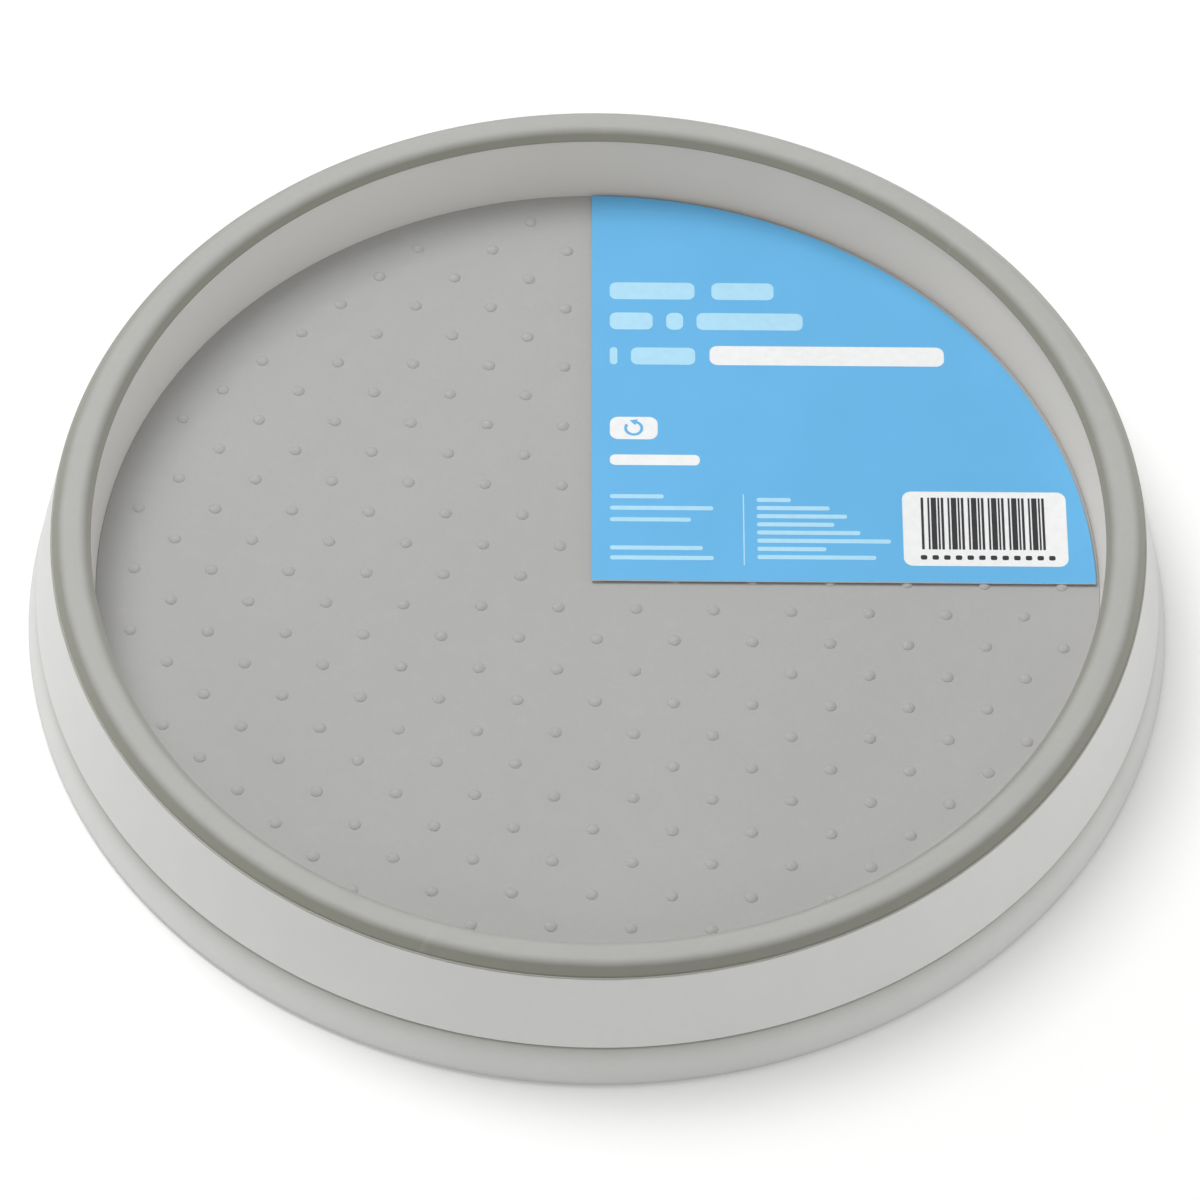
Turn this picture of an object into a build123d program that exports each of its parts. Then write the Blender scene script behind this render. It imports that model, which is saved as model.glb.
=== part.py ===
from build123d import *
import math
import os

os.makedirs("parts", exist_ok=True)

# A lazy susan turntable, in millimetres, with +Z up, the table at z = 0 and the spin axis on Z.
# Standing still: base_pan, hub_bushing, hub_cap and the feet.
# Spinning: tray_shell, rim_grip, floor_mat, label_card, pivot_screw and pivot_washer.
# Between them: ball_cage and the bearing balls, which go round at half the tray's speed.

# Outer cone, shared by the base ring and the tray's skirt
BASE_RADIUS = 132.0  # at the bottom edge of the base ring
FLANK_TAPER = 12.0  # degrees in from upright
FLANK_WALL = 2.2
BASE_RING_HEIGHT = 10.2
PARTING_GAP = 1.0  # the shadow line between base ring and skirt
RING_INSET = 0.8  # base ring's top edge inside the cone, so the skirt shades it
EDGE_ROUND = 0.5

# Inner wall of the base ring, whose top stands up inside the skirt and closes the parting line
LIP_WALL = 1.6
LIP_CLEARANCE = 0.6  # lip to the inside of the skirt
LIP_OVERLAP = 1.7  # lip above the skirt's bottom edge
RING_SHELF = 1.8  # thickness of the base ring's top

# Feet, pressed into round pockets
FOOT_COUNT = 6
FOOT_RADIUS = 7.0
FOOT_PROUD = 0.7  # below the base ring's bottom edge
FOOT_STANDOFF = 0.3  # boss above the base ring's bottom edge
FOOT_POCKET_DEPTH = 1.6
FOOT_POCKET_CLEARANCE = 0.05
FOOT_BOSS_WALL = 1.9
FOOT_INSET = 20.0  # foot's centre to the base radius
FOOT_EDGE = 0.5
FOOT_FIRST_ANGLE = 30.0

# Web of the base pan and its ribs
WEB_RECESS = 2.5  # above the base ring's bottom edge
WEB_THICKNESS = 1.6
RIB_COUNT = 12
RIB_WIDTH = 1.6
RIB_HEIGHT = 2.0

# Ball bearing
BALL_COUNT = 18
BALL_DIAMETER = 3.969
RACE_RADIUS = 80.0
RACE_STEP = 0.7  # race above the web, and below the tray's floor
RACE_PLAY = 0.03
RACE_HALF_WIDTH = 2.6
RIDGE_WIDTH = 1.2
RIDGE_HEIGHT = 1.0  # above the race
CAGE_HALF_WIDTH = 5.5
CAGE_THICKNESS = 1.2
CAGE_POCKET_CLEARANCE = 0.25
CAGE_SLOT_LENGTH = 6.0
CAGE_SLOT_WIDTH = 2.8

# Pivot
SPINDLE_RADIUS = 5.0
SPINDLE_CLEARANCE = 0.05
BUSHING_WALL = 2.0
BUSHING_FIT = 0.02
BUSHING_FLANGE = 0.6
BUSHING_TOP_GAP = 0.3
COLLAR_WALL = 2.0
HUB_RECESS_RADIUS = 15.0
HUB_RECESS = 2.2  # hub plate's underside above the web's underside
HUB_PLATE = 1.6
HUB_RING_WALL = 2.0
LIFT_PLAY = 0.4
WASHER_RADIUS = 9.0
WASHER_THICKNESS = 0.8
WASHER_HOLE_CLEARANCE = 0.2
SCREW_RADIUS = 1.6
SCREW_LENGTH = 5.2
SCREW_FIT = 0.04
SCREW_HEAD_RADIUS = 3.6
SCREW_HEAD_HEIGHT = 1.8
SCREW_HEAD_ROUND = 0.9
SCREW_SLOT_LENGTH = 4.2
SCREW_SLOT_WIDTH = 1.0
SCREW_SLOT_DEPTH = 1.0
PILOT_SPARE = 0.5  # pilot hole past the screw's tip
CAP_THICKNESS = 0.8
CAP_SCREW_GAP = 0.4
CAP_CLEARANCE = 0.05
CAP_SKIRT_WALL = 1.2
CAP_SKIRT_GAP = 0.4  # skirt's top to the hub plate
CAP_EDGE = 0.3

# Tray
RIM_WIDTH = 8.2  # across the land under the grip
WELL_DRAFT = 3.5  # degrees out from upright
WELL_WALL = 2.0
WELL_DEPTH = 22.4  # mat to the top of the grip
FLOOR_THICKNESS = 1.8
LAND_THICKNESS = 2.0
TONGUE_WIDTH = 3.6
TONGUE_HEIGHT = 1.1
TRAY_RIB_COUNT = 12
TRAY_RIB_WIDTH = 1.4
TRAY_RIB_HEIGHT = 2.4
TRAY_RIB_GAP = 2.0  # rib's inner end to the cage
GUSSET_HEIGHT = 4.0

# Rim grip
GRIP_HEIGHT = 2.9
GRIP_SETBACK = 0.05  # grip's foot inside the land's outer edge
GRIP_OVERHANG = 1.3  # grip's foot past the well's wall
GRIP_OUTER_SLOPE = 2.6  # width of the sloping outer side
GRIP_INNER_SLOPE = 2.25
GRIP_OUTER_SHOULDER = 2.6
GRIP_INNER_SHOULDER = 3.0
GRIP_TUCK = 0.35
GRIP_CLEARANCE = 0.05

# Floor mat
MAT_THICKNESS = 1.2
MAT_GAP = 0.3
MAT_EDGE = 0.3
DOT_PITCH = 17.84
DOT_RADIUS = 1.5
DOT_HEIGHT = 0.6
DOT_TAPER = 40.0  # degrees
DOT_MARGIN = 4.5  # outermost dots to the mat's edge

# Label card, a quarter of a disc that lies on the dots
CARD_THICKNESS = 0.35
CARD_MARGIN = 0.8  # card's arc to the well's wall
CARD_OFFSET = 1.5  # card's square corner behind and left of the axis
CARD_TURN = 0.9  # degrees

# Heights, stacked up from the table
EDGE_Z = FOOT_PROUD
RING_TOP_Z = EDGE_Z + BASE_RING_HEIGHT
SKIRT_BOTTOM_Z = RING_TOP_Z + PARTING_GAP
LIP_TOP_Z = SKIRT_BOTTOM_Z + LIP_OVERLAP
FOOT_BOSS_Z = EDGE_Z + FOOT_STANDOFF
FOOT_TOP_Z = FOOT_BOSS_Z + FOOT_POCKET_DEPTH
WEB_BOTTOM_Z = EDGE_Z + WEB_RECESS
WEB_TOP_Z = WEB_BOTTOM_Z + WEB_THICKNESS
LOWER_RACE_Z = WEB_TOP_Z + RACE_STEP
BALL_Z = LOWER_RACE_Z + RACE_PLAY + BALL_DIAMETER / 2
UPPER_RACE_Z = BALL_Z + BALL_DIAMETER / 2 + RACE_PLAY
FLOOR_BOTTOM_Z = UPPER_RACE_Z + RACE_STEP
FLOOR_TOP_Z = FLOOR_BOTTOM_Z + FLOOR_THICKNESS
MAT_TOP_Z = FLOOR_TOP_Z + MAT_THICKNESS
RIM_TOP_Z = MAT_TOP_Z + WELL_DEPTH
LAND_Z = RIM_TOP_Z - GRIP_HEIGHT
LAND_UNDER_Z = LAND_Z - LAND_THICKNESS
TONGUE_TOP_Z = LAND_Z + TONGUE_HEIGHT
HUB_UNDER_Z = WEB_BOTTOM_Z + HUB_RECESS
HUB_TOP_Z = HUB_UNDER_Z + HUB_PLATE
FLANGE_TOP_Z = FLOOR_BOTTOM_Z - BUSHING_TOP_GAP
COLLAR_TOP_Z = FLANGE_TOP_Z - BUSHING_FLANGE
SPINDLE_BOTTOM_Z = HUB_UNDER_Z - LIFT_PLAY
WASHER_BOTTOM_Z = SPINDLE_BOTTOM_Z - WASHER_THICKNESS
SCREW_HEAD_Z = WASHER_BOTTOM_Z - SCREW_HEAD_HEIGHT
CAP_TOP_Z = SCREW_HEAD_Z - CAP_SCREW_GAP
CAP_BOTTOM_Z = CAP_TOP_Z - CAP_THICKNESS


def flank_radius(z):
    """Radius of the outer cone at height z."""
    return BASE_RADIUS - (z - EDGE_Z) * math.tan(math.radians(FLANK_TAPER))


def flank_inside(z):
    """Radius of the inside of the flank's wall at height z."""
    return flank_radius(z) - FLANK_WALL


def well_radius(z):
    """Radius of the well's wall at height z, counted down from the land."""
    return LAND_INNER - (LAND_Z - z) * math.tan(math.radians(WELL_DRAFT))


# Radii that several pieces share
LAND_OUTER = flank_radius(LAND_Z)
LAND_INNER = LAND_OUTER - RIM_WIDTH
LAND_MIDDLE = (LAND_OUTER + LAND_INNER) / 2
GRIP_OUTER = LAND_OUTER - GRIP_SETBACK
GRIP_INNER = LAND_INNER - GRIP_OVERHANG
LIP_OUTER = flank_inside(LIP_TOP_Z) - LIP_CLEARANCE
LIP_INNER = LIP_OUTER - LIP_WALL
FOOT_CIRCLE = BASE_RADIUS - FOOT_INSET
CAGE_OUTER = RACE_RADIUS + CAGE_HALF_WIDTH
RACE_INNER = RACE_RADIUS - RACE_HALF_WIDTH
RACE_OUTER = RACE_RADIUS + RACE_HALF_WIDTH
BUSHING_BORE = SPINDLE_RADIUS + SPINDLE_CLEARANCE
BUSHING_OUTER = BUSHING_BORE + BUSHING_WALL
COLLAR_BORE = BUSHING_OUTER + BUSHING_FIT
COLLAR_OUTER = COLLAR_BORE + COLLAR_WALL
HUB_RING_OUTER = HUB_RECESS_RADIUS + HUB_RING_WALL
MAT_RADIUS = well_radius(FLOOR_TOP_Z) - MAT_GAP
DOT_FIELD_RADIUS = MAT_RADIUS - DOT_MARGIN

# Base pan: a flat web with a raised hub in the middle and a hollow conical ring round it
with BuildPart() as base_pan:
    with BuildSketch(Plane.XZ) as base_outline:
        with BuildLine():
            Polyline(
                (COLLAR_BORE, HUB_UNDER_Z),
                (HUB_RECESS_RADIUS, HUB_UNDER_Z),
                (HUB_RECESS_RADIUS, CAP_BOTTOM_Z),
                (HUB_RING_OUTER, CAP_BOTTOM_Z),
                (HUB_RING_OUTER, WEB_BOTTOM_Z),
                (LIP_OUTER, WEB_BOTTOM_Z),
                (LIP_OUTER, RING_TOP_Z - RING_SHELF),
                (flank_inside(RING_TOP_Z - RING_SHELF), RING_TOP_Z - RING_SHELF),
                (flank_inside(EDGE_Z), EDGE_Z),
                (BASE_RADIUS, EDGE_Z),
                (flank_radius(RING_TOP_Z) - RING_INSET, RING_TOP_Z),
                (LIP_OUTER, RING_TOP_Z),
                (LIP_OUTER, LIP_TOP_Z),
                (LIP_INNER, LIP_TOP_Z),
                (LIP_INNER, WEB_TOP_Z),
                (HUB_RING_OUTER, WEB_TOP_Z),
                (HUB_RING_OUTER, HUB_TOP_Z),
                (COLLAR_OUTER, HUB_TOP_Z),
                (COLLAR_OUTER, COLLAR_TOP_Z),
                (COLLAR_BORE, COLLAR_TOP_Z),
                close=True,
            )
        make_face()
        fillet(base_outline.vertices().sort_by(Axis.X)[-1], EDGE_ROUND)
        ring_top = base_outline.vertices().filter_by_position(
            Axis.Y, RING_TOP_Z - EDGE_ROUND / 2, RING_TOP_Z + EDGE_ROUND / 2
        )
        fillet(ring_top.sort_by(Axis.X)[-1], EDGE_ROUND)
    revolve(axis=Axis.Z)
    # Lower race and the ridges that keep the cage on it
    with BuildSketch(Plane.XY.offset(WEB_TOP_Z)):
        Circle(RACE_OUTER + RIDGE_WIDTH)
        Circle(RACE_INNER - RIDGE_WIDTH, mode=Mode.SUBTRACT)
    extrude(amount=RACE_STEP + RIDGE_HEIGHT)
    with BuildSketch(Plane.XY.offset(LOWER_RACE_Z)):
        Circle(RACE_OUTER)
        Circle(RACE_INNER, mode=Mode.SUBTRACT)
    extrude(amount=RIDGE_HEIGHT, mode=Mode.SUBTRACT)
    # Ribs under the web: a ring that carries the race, and radial ones from the hub ring to the lip's wall
    web_rib_start = HUB_RING_OUTER - HUB_RING_WALL / 2
    web_rib_end = LIP_OUTER - LIP_WALL / 2
    with BuildSketch(Plane.XY.offset(WEB_BOTTOM_Z)):
        Circle(RACE_RADIUS + RIB_WIDTH / 2)
        Circle(RACE_RADIUS - RIB_WIDTH / 2, mode=Mode.SUBTRACT)
        with PolarLocations((web_rib_start + web_rib_end) / 2, RIB_COUNT, start_angle=180 / RIB_COUNT):
            Rectangle(web_rib_end - web_rib_start, RIB_WIDTH)
    extrude(amount=-RIB_HEIGHT)
    # Foot bosses and their pockets
    with BuildSketch(Plane.XY.offset(FOOT_BOSS_Z)):
        with PolarLocations(FOOT_CIRCLE, FOOT_COUNT, start_angle=FOOT_FIRST_ANGLE):
            Circle(FOOT_RADIUS + FOOT_POCKET_CLEARANCE + FOOT_BOSS_WALL)
    extrude(amount=WEB_BOTTOM_Z + WEB_THICKNESS / 2 - FOOT_BOSS_Z)
    with BuildSketch(Plane.XY.offset(FOOT_BOSS_Z)):
        with PolarLocations(FOOT_CIRCLE, FOOT_COUNT, start_angle=FOOT_FIRST_ANGLE):
            Circle(FOOT_RADIUS + FOOT_POCKET_CLEARANCE)
    extrude(amount=FOOT_POCKET_DEPTH, mode=Mode.SUBTRACT)
base_pan.part.label = "base_pan"
export_step(base_pan.part, "parts/base_pan.step")

# Tray shell: floor, well, land and skirt in one moulding, with the spindle and the upper race below
with BuildPart() as tray_shell:
    with BuildSketch(Plane.XZ) as tray_outline:
        with BuildLine():
            Polyline(
                (0, FLOOR_BOTTOM_Z),
                (well_radius(FLOOR_BOTTOM_Z) + WELL_WALL, FLOOR_BOTTOM_Z),
                (well_radius(LAND_UNDER_Z) + WELL_WALL, LAND_UNDER_Z),
                (flank_inside(LAND_UNDER_Z), LAND_UNDER_Z),
                (flank_inside(SKIRT_BOTTOM_Z), SKIRT_BOTTOM_Z),
                (flank_radius(SKIRT_BOTTOM_Z), SKIRT_BOTTOM_Z),
                (LAND_OUTER, LAND_Z),
                (LAND_MIDDLE + TONGUE_WIDTH / 2, LAND_Z),
                (LAND_MIDDLE + TONGUE_WIDTH / 2, TONGUE_TOP_Z),
                (LAND_MIDDLE - TONGUE_WIDTH / 2, TONGUE_TOP_Z),
                (LAND_MIDDLE - TONGUE_WIDTH / 2, LAND_Z),
                (LAND_INNER, LAND_Z),
                (well_radius(FLOOR_TOP_Z), FLOOR_TOP_Z),
                (0, FLOOR_TOP_Z),
                close=True,
            )
        make_face()
        fillet(tray_outline.vertices().sort_by(Axis.X)[-1], EDGE_ROUND)
    revolve(axis=Axis.Z)
    # Upper race and its ridges
    with BuildSketch(Plane.XY.offset(FLOOR_BOTTOM_Z)):
        Circle(RACE_OUTER + RIDGE_WIDTH)
        Circle(RACE_INNER - RIDGE_WIDTH, mode=Mode.SUBTRACT)
    extrude(amount=-RACE_STEP - RIDGE_HEIGHT)
    with BuildSketch(Plane.XY.offset(UPPER_RACE_Z)):
        Circle(RACE_OUTER)
        Circle(RACE_INNER, mode=Mode.SUBTRACT)
    extrude(amount=-RIDGE_HEIGHT, mode=Mode.SUBTRACT)
    # Radial ribs under the floor, from outside the cage to the foot of the well's wall
    rib_start = CAGE_OUTER + TRAY_RIB_GAP
    rib_end = well_radius(FLOOR_BOTTOM_Z) + WELL_WALL / 2
    with BuildSketch(Plane.XY.offset(FLOOR_BOTTOM_Z)):
        with PolarLocations((rib_start + rib_end) / 2, TRAY_RIB_COUNT):
            Rectangle(rib_end - rib_start, TRAY_RIB_WIDTH)
    extrude(amount=-TRAY_RIB_HEIGHT)
    # Gussets that tie the well's wall to the skirt under the land
    gusset_start = well_radius(LAND_UNDER_Z) + WELL_WALL / 2
    gusset_end = flank_radius(LAND_UNDER_Z) - FLANK_WALL / 2
    with BuildSketch(Plane.XY.offset(LAND_UNDER_Z)):
        with PolarLocations((gusset_start + gusset_end) / 2, TRAY_RIB_COUNT):
            Rectangle(gusset_end - gusset_start, TRAY_RIB_WIDTH)
    extrude(amount=-GUSSET_HEIGHT)
    # Spindle with its pilot hole for the screw
    with BuildSketch(Plane.XY.offset(FLOOR_BOTTOM_Z)):
        Circle(SPINDLE_RADIUS)
    extrude(amount=SPINDLE_BOTTOM_Z - FLOOR_BOTTOM_Z)
    with BuildSketch(Plane.XY.offset(SPINDLE_BOTTOM_Z)):
        Circle(SCREW_RADIUS)
    extrude(amount=SCREW_LENGTH - WASHER_THICKNESS + PILOT_SPARE, mode=Mode.SUBTRACT)
tray_shell.part.label = "tray_shell"
export_step(tray_shell.part, "parts/tray_shell.step")

# Rim grip: a soft bead over the land, grooved to sit on the tongue
with BuildPart() as rim_grip:
    with BuildSketch(Plane.XZ) as grip_outline:
        with BuildLine():
            Polyline(
                (GRIP_INNER, LAND_Z),
                (GRIP_INNER + GRIP_INNER_SLOPE, RIM_TOP_Z),
                (GRIP_OUTER - GRIP_OUTER_SLOPE, RIM_TOP_Z),
                (GRIP_OUTER, LAND_Z),
                close=True,
            )
        make_face()
        fillet(grip_outline.vertices().group_by(Axis.Y)[-1].sort_by(Axis.X)[0], GRIP_INNER_SHOULDER)
        fillet(grip_outline.vertices().group_by(Axis.Y)[-1].sort_by(Axis.X)[-1], GRIP_OUTER_SHOULDER)
        fillet(grip_outline.vertices().group_by(Axis.Y)[0].sort_by(Axis.X)[0], GRIP_TUCK)
        fillet(grip_outline.vertices().group_by(Axis.Y)[0].sort_by(Axis.X)[-1], GRIP_TUCK)
        with Locations((LAND_MIDDLE, LAND_Z)):
            Rectangle(
                TONGUE_WIDTH + 2 * GRIP_CLEARANCE,
                2 * (TONGUE_HEIGHT + GRIP_CLEARANCE),
                mode=Mode.SUBTRACT,
            )
    revolve(axis=Axis.Z)
rim_grip.part.label = "rim_grip"
export_step(rim_grip.part, "parts/rim_grip.step")

# Floor mat: a soft disc with low dots in two square grids, one set in the middle of the other
half_pitch = DOT_PITCH / 2
half_steps = math.ceil(DOT_FIELD_RADIUS / half_pitch)
dot_centres = [
    (i * half_pitch, j * half_pitch)
    for i in range(-half_steps, half_steps + 1)
    for j in range(-half_steps, half_steps + 1)
    if i % 2 == j % 2 and math.hypot(i, j) * half_pitch <= DOT_FIELD_RADIUS
]
with BuildPart() as floor_mat:
    with BuildSketch(Plane.XY.offset(FLOOR_TOP_Z)):
        Circle(MAT_RADIUS)
    extrude(amount=MAT_THICKNESS)
    chamfer(floor_mat.edges().group_by(Axis.Z)[-1], MAT_EDGE)
    with BuildSketch(Plane.XY.offset(MAT_TOP_Z)):
        with Locations(*dot_centres):
            Circle(DOT_RADIUS)
    extrude(amount=DOT_HEIGHT, taper=DOT_TAPER)
floor_mat.part.label = "floor_mat"
export_step(floor_mat.part, "parts/floor_mat.step")

# Label card: a quarter disc, set a little off the axis, lying on the dots
card_radius = well_radius(MAT_TOP_Z) - CARD_MARGIN + CARD_OFFSET
card_turn = math.radians(CARD_TURN)
card_plane = Plane(
    origin=(-CARD_OFFSET, -CARD_OFFSET, MAT_TOP_Z + DOT_HEIGHT),
    x_dir=(math.cos(card_turn), math.sin(card_turn), 0),
    z_dir=(0, 0, 1),
)
with BuildPart() as label_card:
    with BuildSketch(card_plane):
        with BuildLine():
            Line((0, 0), (card_radius, 0))
            CenterArc((0, 0), card_radius, 0, 90)
            Line((0, card_radius), (0, 0))
        make_face()
    extrude(amount=CARD_THICKNESS)
label_card.part.label = "label_card"
export_step(label_card.part, "parts/label_card.step")

# Hub bushing: a flanged sleeve in the base's collar, in which the spindle turns
with BuildPart() as hub_bushing:
    with BuildSketch(Plane.XZ):
        with BuildLine():
            Polyline(
                (BUSHING_BORE, HUB_UNDER_Z),
                (BUSHING_OUTER, HUB_UNDER_Z),
                (BUSHING_OUTER, COLLAR_TOP_Z),
                (COLLAR_OUTER, COLLAR_TOP_Z),
                (COLLAR_OUTER, FLANGE_TOP_Z),
                (BUSHING_BORE, FLANGE_TOP_Z),
                close=True,
            )
        make_face()
    revolve(axis=Axis.Z)
hub_bushing.part.label = "hub_bushing"
export_step(hub_bushing.part, "parts/hub_bushing.step")

# Pivot washer: holds the base up against the spindle's end
with BuildPart() as pivot_washer:
    with BuildSketch(Plane.XY.offset(WASHER_BOTTOM_Z)):
        Circle(WASHER_RADIUS)
        Circle(SCREW_RADIUS + WASHER_HOLE_CLEARANCE, mode=Mode.SUBTRACT)
    extrude(amount=WASHER_THICKNESS)
pivot_washer.part.label = "pivot_washer"
export_step(pivot_washer.part, "parts/pivot_washer.step")

# Pivot screw: a pan head below the washer, driven up into the spindle
with BuildPart() as pivot_screw:
    with BuildSketch(Plane.XY.offset(SCREW_HEAD_Z)):
        Circle(SCREW_HEAD_RADIUS)
    extrude(amount=SCREW_HEAD_HEIGHT)
    fillet(pivot_screw.edges().group_by(Axis.Z)[0], SCREW_HEAD_ROUND)
    with BuildSketch(Plane.XY.offset(WASHER_BOTTOM_Z)):
        Circle(SCREW_RADIUS - SCREW_FIT)
    extrude(amount=SCREW_LENGTH)
    with BuildSketch(Plane.XY.offset(SCREW_HEAD_Z)):
        Rectangle(SCREW_SLOT_LENGTH, SCREW_SLOT_WIDTH)
        Rectangle(SCREW_SLOT_WIDTH, SCREW_SLOT_LENGTH)
    extrude(amount=SCREW_SLOT_DEPTH, mode=Mode.SUBTRACT)
pivot_screw.part.label = "pivot_screw"
export_step(pivot_screw.part, "parts/pivot_screw.step")

# Hub cap: closes the hub's recess from below
with BuildPart() as hub_cap:
    with BuildSketch(Plane.XY.offset(CAP_BOTTOM_Z)):
        Circle(HUB_RECESS_RADIUS - CAP_CLEARANCE)
    extrude(amount=HUB_UNDER_Z - CAP_SKIRT_GAP - CAP_BOTTOM_Z)
    with BuildSketch(Plane.XY.offset(CAP_TOP_Z)):
        Circle(HUB_RECESS_RADIUS - CAP_CLEARANCE - CAP_SKIRT_WALL)
    extrude(amount=HUB_UNDER_Z - CAP_TOP_Z, mode=Mode.SUBTRACT)
    chamfer(hub_cap.edges().group_by(Axis.Z)[0], CAP_EDGE)
hub_cap.part.label = "hub_cap"
export_step(hub_cap.part, "parts/hub_cap.step")

# Ball cage: a flat ring with a round pocket for each ball and a slot between each two
with BuildPart() as ball_cage:
    with BuildSketch(Plane.XY.offset(BALL_Z - CAGE_THICKNESS / 2)):
        Circle(CAGE_OUTER)
        Circle(RACE_RADIUS - CAGE_HALF_WIDTH, mode=Mode.SUBTRACT)
        with PolarLocations(RACE_RADIUS, BALL_COUNT):
            Circle(BALL_DIAMETER / 2 + CAGE_POCKET_CLEARANCE, mode=Mode.SUBTRACT)
        with PolarLocations(RACE_RADIUS, BALL_COUNT, start_angle=180 / BALL_COUNT):
            SlotOverall(CAGE_SLOT_LENGTH, CAGE_SLOT_WIDTH, mode=Mode.SUBTRACT)
    extrude(amount=CAGE_THICKNESS)
ball_cage.part.label = "ball_cage"
export_step(ball_cage.part, "parts/ball_cage.step")

# Bearing balls, one in each pocket of the cage
for index in range(BALL_COUNT):
    angle = math.radians(index * 360 / BALL_COUNT)
    ball_centre = (RACE_RADIUS * math.cos(angle), RACE_RADIUS * math.sin(angle), BALL_Z)
    with BuildPart(Plane(origin=ball_centre)) as bearing_ball:
        Sphere(BALL_DIAMETER / 2)
    ball_name = f"bearing_ball_{index + 1:02d}"
    bearing_ball.part.label = ball_name
    export_step(bearing_ball.part, f"parts/{ball_name}.step")

# Feet, one in each pocket of the base pan
for index in range(FOOT_COUNT):
    angle = math.radians(FOOT_FIRST_ANGLE + index * 360 / FOOT_COUNT)
    foot_plane = Plane(origin=(FOOT_CIRCLE * math.cos(angle), FOOT_CIRCLE * math.sin(angle), 0))
    with BuildPart() as foot:
        with BuildSketch(foot_plane):
            Circle(FOOT_RADIUS)
        extrude(amount=FOOT_TOP_Z)
        fillet(foot.edges().group_by(Axis.Z)[0], FOOT_EDGE)
    foot_name = f"foot_{index + 1}"
    foot.part.label = foot_name
    export_step(foot.part, f"parts/{foot_name}.step")
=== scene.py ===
"""A lazy susan turntable: a deep tray with a soft grip rim and a dotted mat that spins on a caged ring of balls.

Shapes are worked out with numpy in millimetres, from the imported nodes' boxes and each piece's own section sizes,
and go into their meshes in metres. Classes follow the real sub-assemblies: base, bearing, tray, grip, mat and card.
"""

import logging
import math
from dataclasses import dataclass
from enum import Enum
from typing import Sequence

import bpy
import numpy as np
from mathutils import Matrix, Vector


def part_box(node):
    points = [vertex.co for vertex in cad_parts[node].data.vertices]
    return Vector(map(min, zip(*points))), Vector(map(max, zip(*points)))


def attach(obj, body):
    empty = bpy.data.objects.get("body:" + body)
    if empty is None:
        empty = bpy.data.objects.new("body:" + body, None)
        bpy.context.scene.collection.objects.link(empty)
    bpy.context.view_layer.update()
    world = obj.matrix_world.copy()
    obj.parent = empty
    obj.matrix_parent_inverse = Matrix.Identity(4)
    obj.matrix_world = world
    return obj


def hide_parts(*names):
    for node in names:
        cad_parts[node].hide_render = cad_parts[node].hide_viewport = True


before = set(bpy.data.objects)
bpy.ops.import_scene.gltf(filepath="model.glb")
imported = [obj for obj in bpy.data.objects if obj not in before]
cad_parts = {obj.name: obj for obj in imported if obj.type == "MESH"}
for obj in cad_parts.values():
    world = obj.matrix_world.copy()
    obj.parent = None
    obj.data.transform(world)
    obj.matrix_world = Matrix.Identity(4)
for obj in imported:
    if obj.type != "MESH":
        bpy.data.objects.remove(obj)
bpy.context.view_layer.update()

log = logging.getLogger("turntable")
MM = 0.001
BUSHING_FLANGE = 0.6
Colour = tuple[float, float, float]
Corner = tuple[float, float, float]
Band = tuple[float, float]
Material, Socket, Tree = bpy.types.Material, bpy.types.NodeSocket, bpy.types.NodeTree


class Body(Enum):
    """The bodies that pieces ride on."""

    ROOT = "root"
    TRAY = "tray"


class Slot(Enum):
    """Names of material slots, which no piece here is given."""

    SHELL = "white_shell"
    BASE = "white_base"
    GRIP = "grey_grip"
    MAT = "grey_mat"
    CARD = "label_card"
    BUSHING = "acetal_bushing"
    CAP = "white_cap"
    WASHER = "steel_washer"
    BALL = "bearing_steel"
    FOOT = "foot_rubber"


# ---------------------------------------------------------------- surfaces


@dataclass
class Surface:
    """A mesh in the making: points in millimetres, and faces in blocks of equal corner count."""

    points: np.ndarray
    blocks: list[np.ndarray]

    def __add__(self, other: "Surface") -> "Surface":
        """Both surfaces as one."""
        shifted = [block + len(self.points) for block in other.blocks]
        return Surface(np.vstack([self.points, other.points]), self.blocks + shifted)

    def copies(self, points: np.ndarray) -> "Surface":
        """This surface's faces over several sets of its points.

        Args:
            points: Array of shape (copies, points, 3).

        Returns:
            One surface with every copy.
        """
        shift = np.arange(len(points))[:, None, None] * len(self.points)
        blocks = [(block[None] + shift).reshape(-1, block.shape[1]) for block in self.blocks]
        return Surface(points.reshape(-1, 3), blocks)

    def around(self, degrees: Sequence[float]) -> "Surface":
        """Copies turned about the spin axis.

        Each point (x, y, z) goes to (x cos a - y sin a, x sin a + y cos a, z) for each angle a.

        Args:
            degrees: The angle of each copy.

        Returns:
            One surface with every copy.
        """
        turn = np.radians(np.asarray(degrees, float))[:, None]
        x, y, z = self.points.T
        turned = [np.cos(turn) * x - np.sin(turn) * y, np.sin(turn) * x + np.cos(turn) * y, z + 0 * turn]
        return self.copies(np.stack(turned, axis=-1))

    def moved_to(self, centres: Sequence[Sequence[float]]) -> "Surface":
        """Copies shifted by each of the (n, 3) centres."""
        return self.copies(self.points[None] + np.asarray(centres, float)[:, None])


def unit(vectors: np.ndarray) -> np.ndarray:
    """The vectors at length one, and zero where they have no length."""
    return vectors / np.maximum(np.linalg.norm(vectors, axis=-1, keepdims=True), 1e-12)


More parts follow.
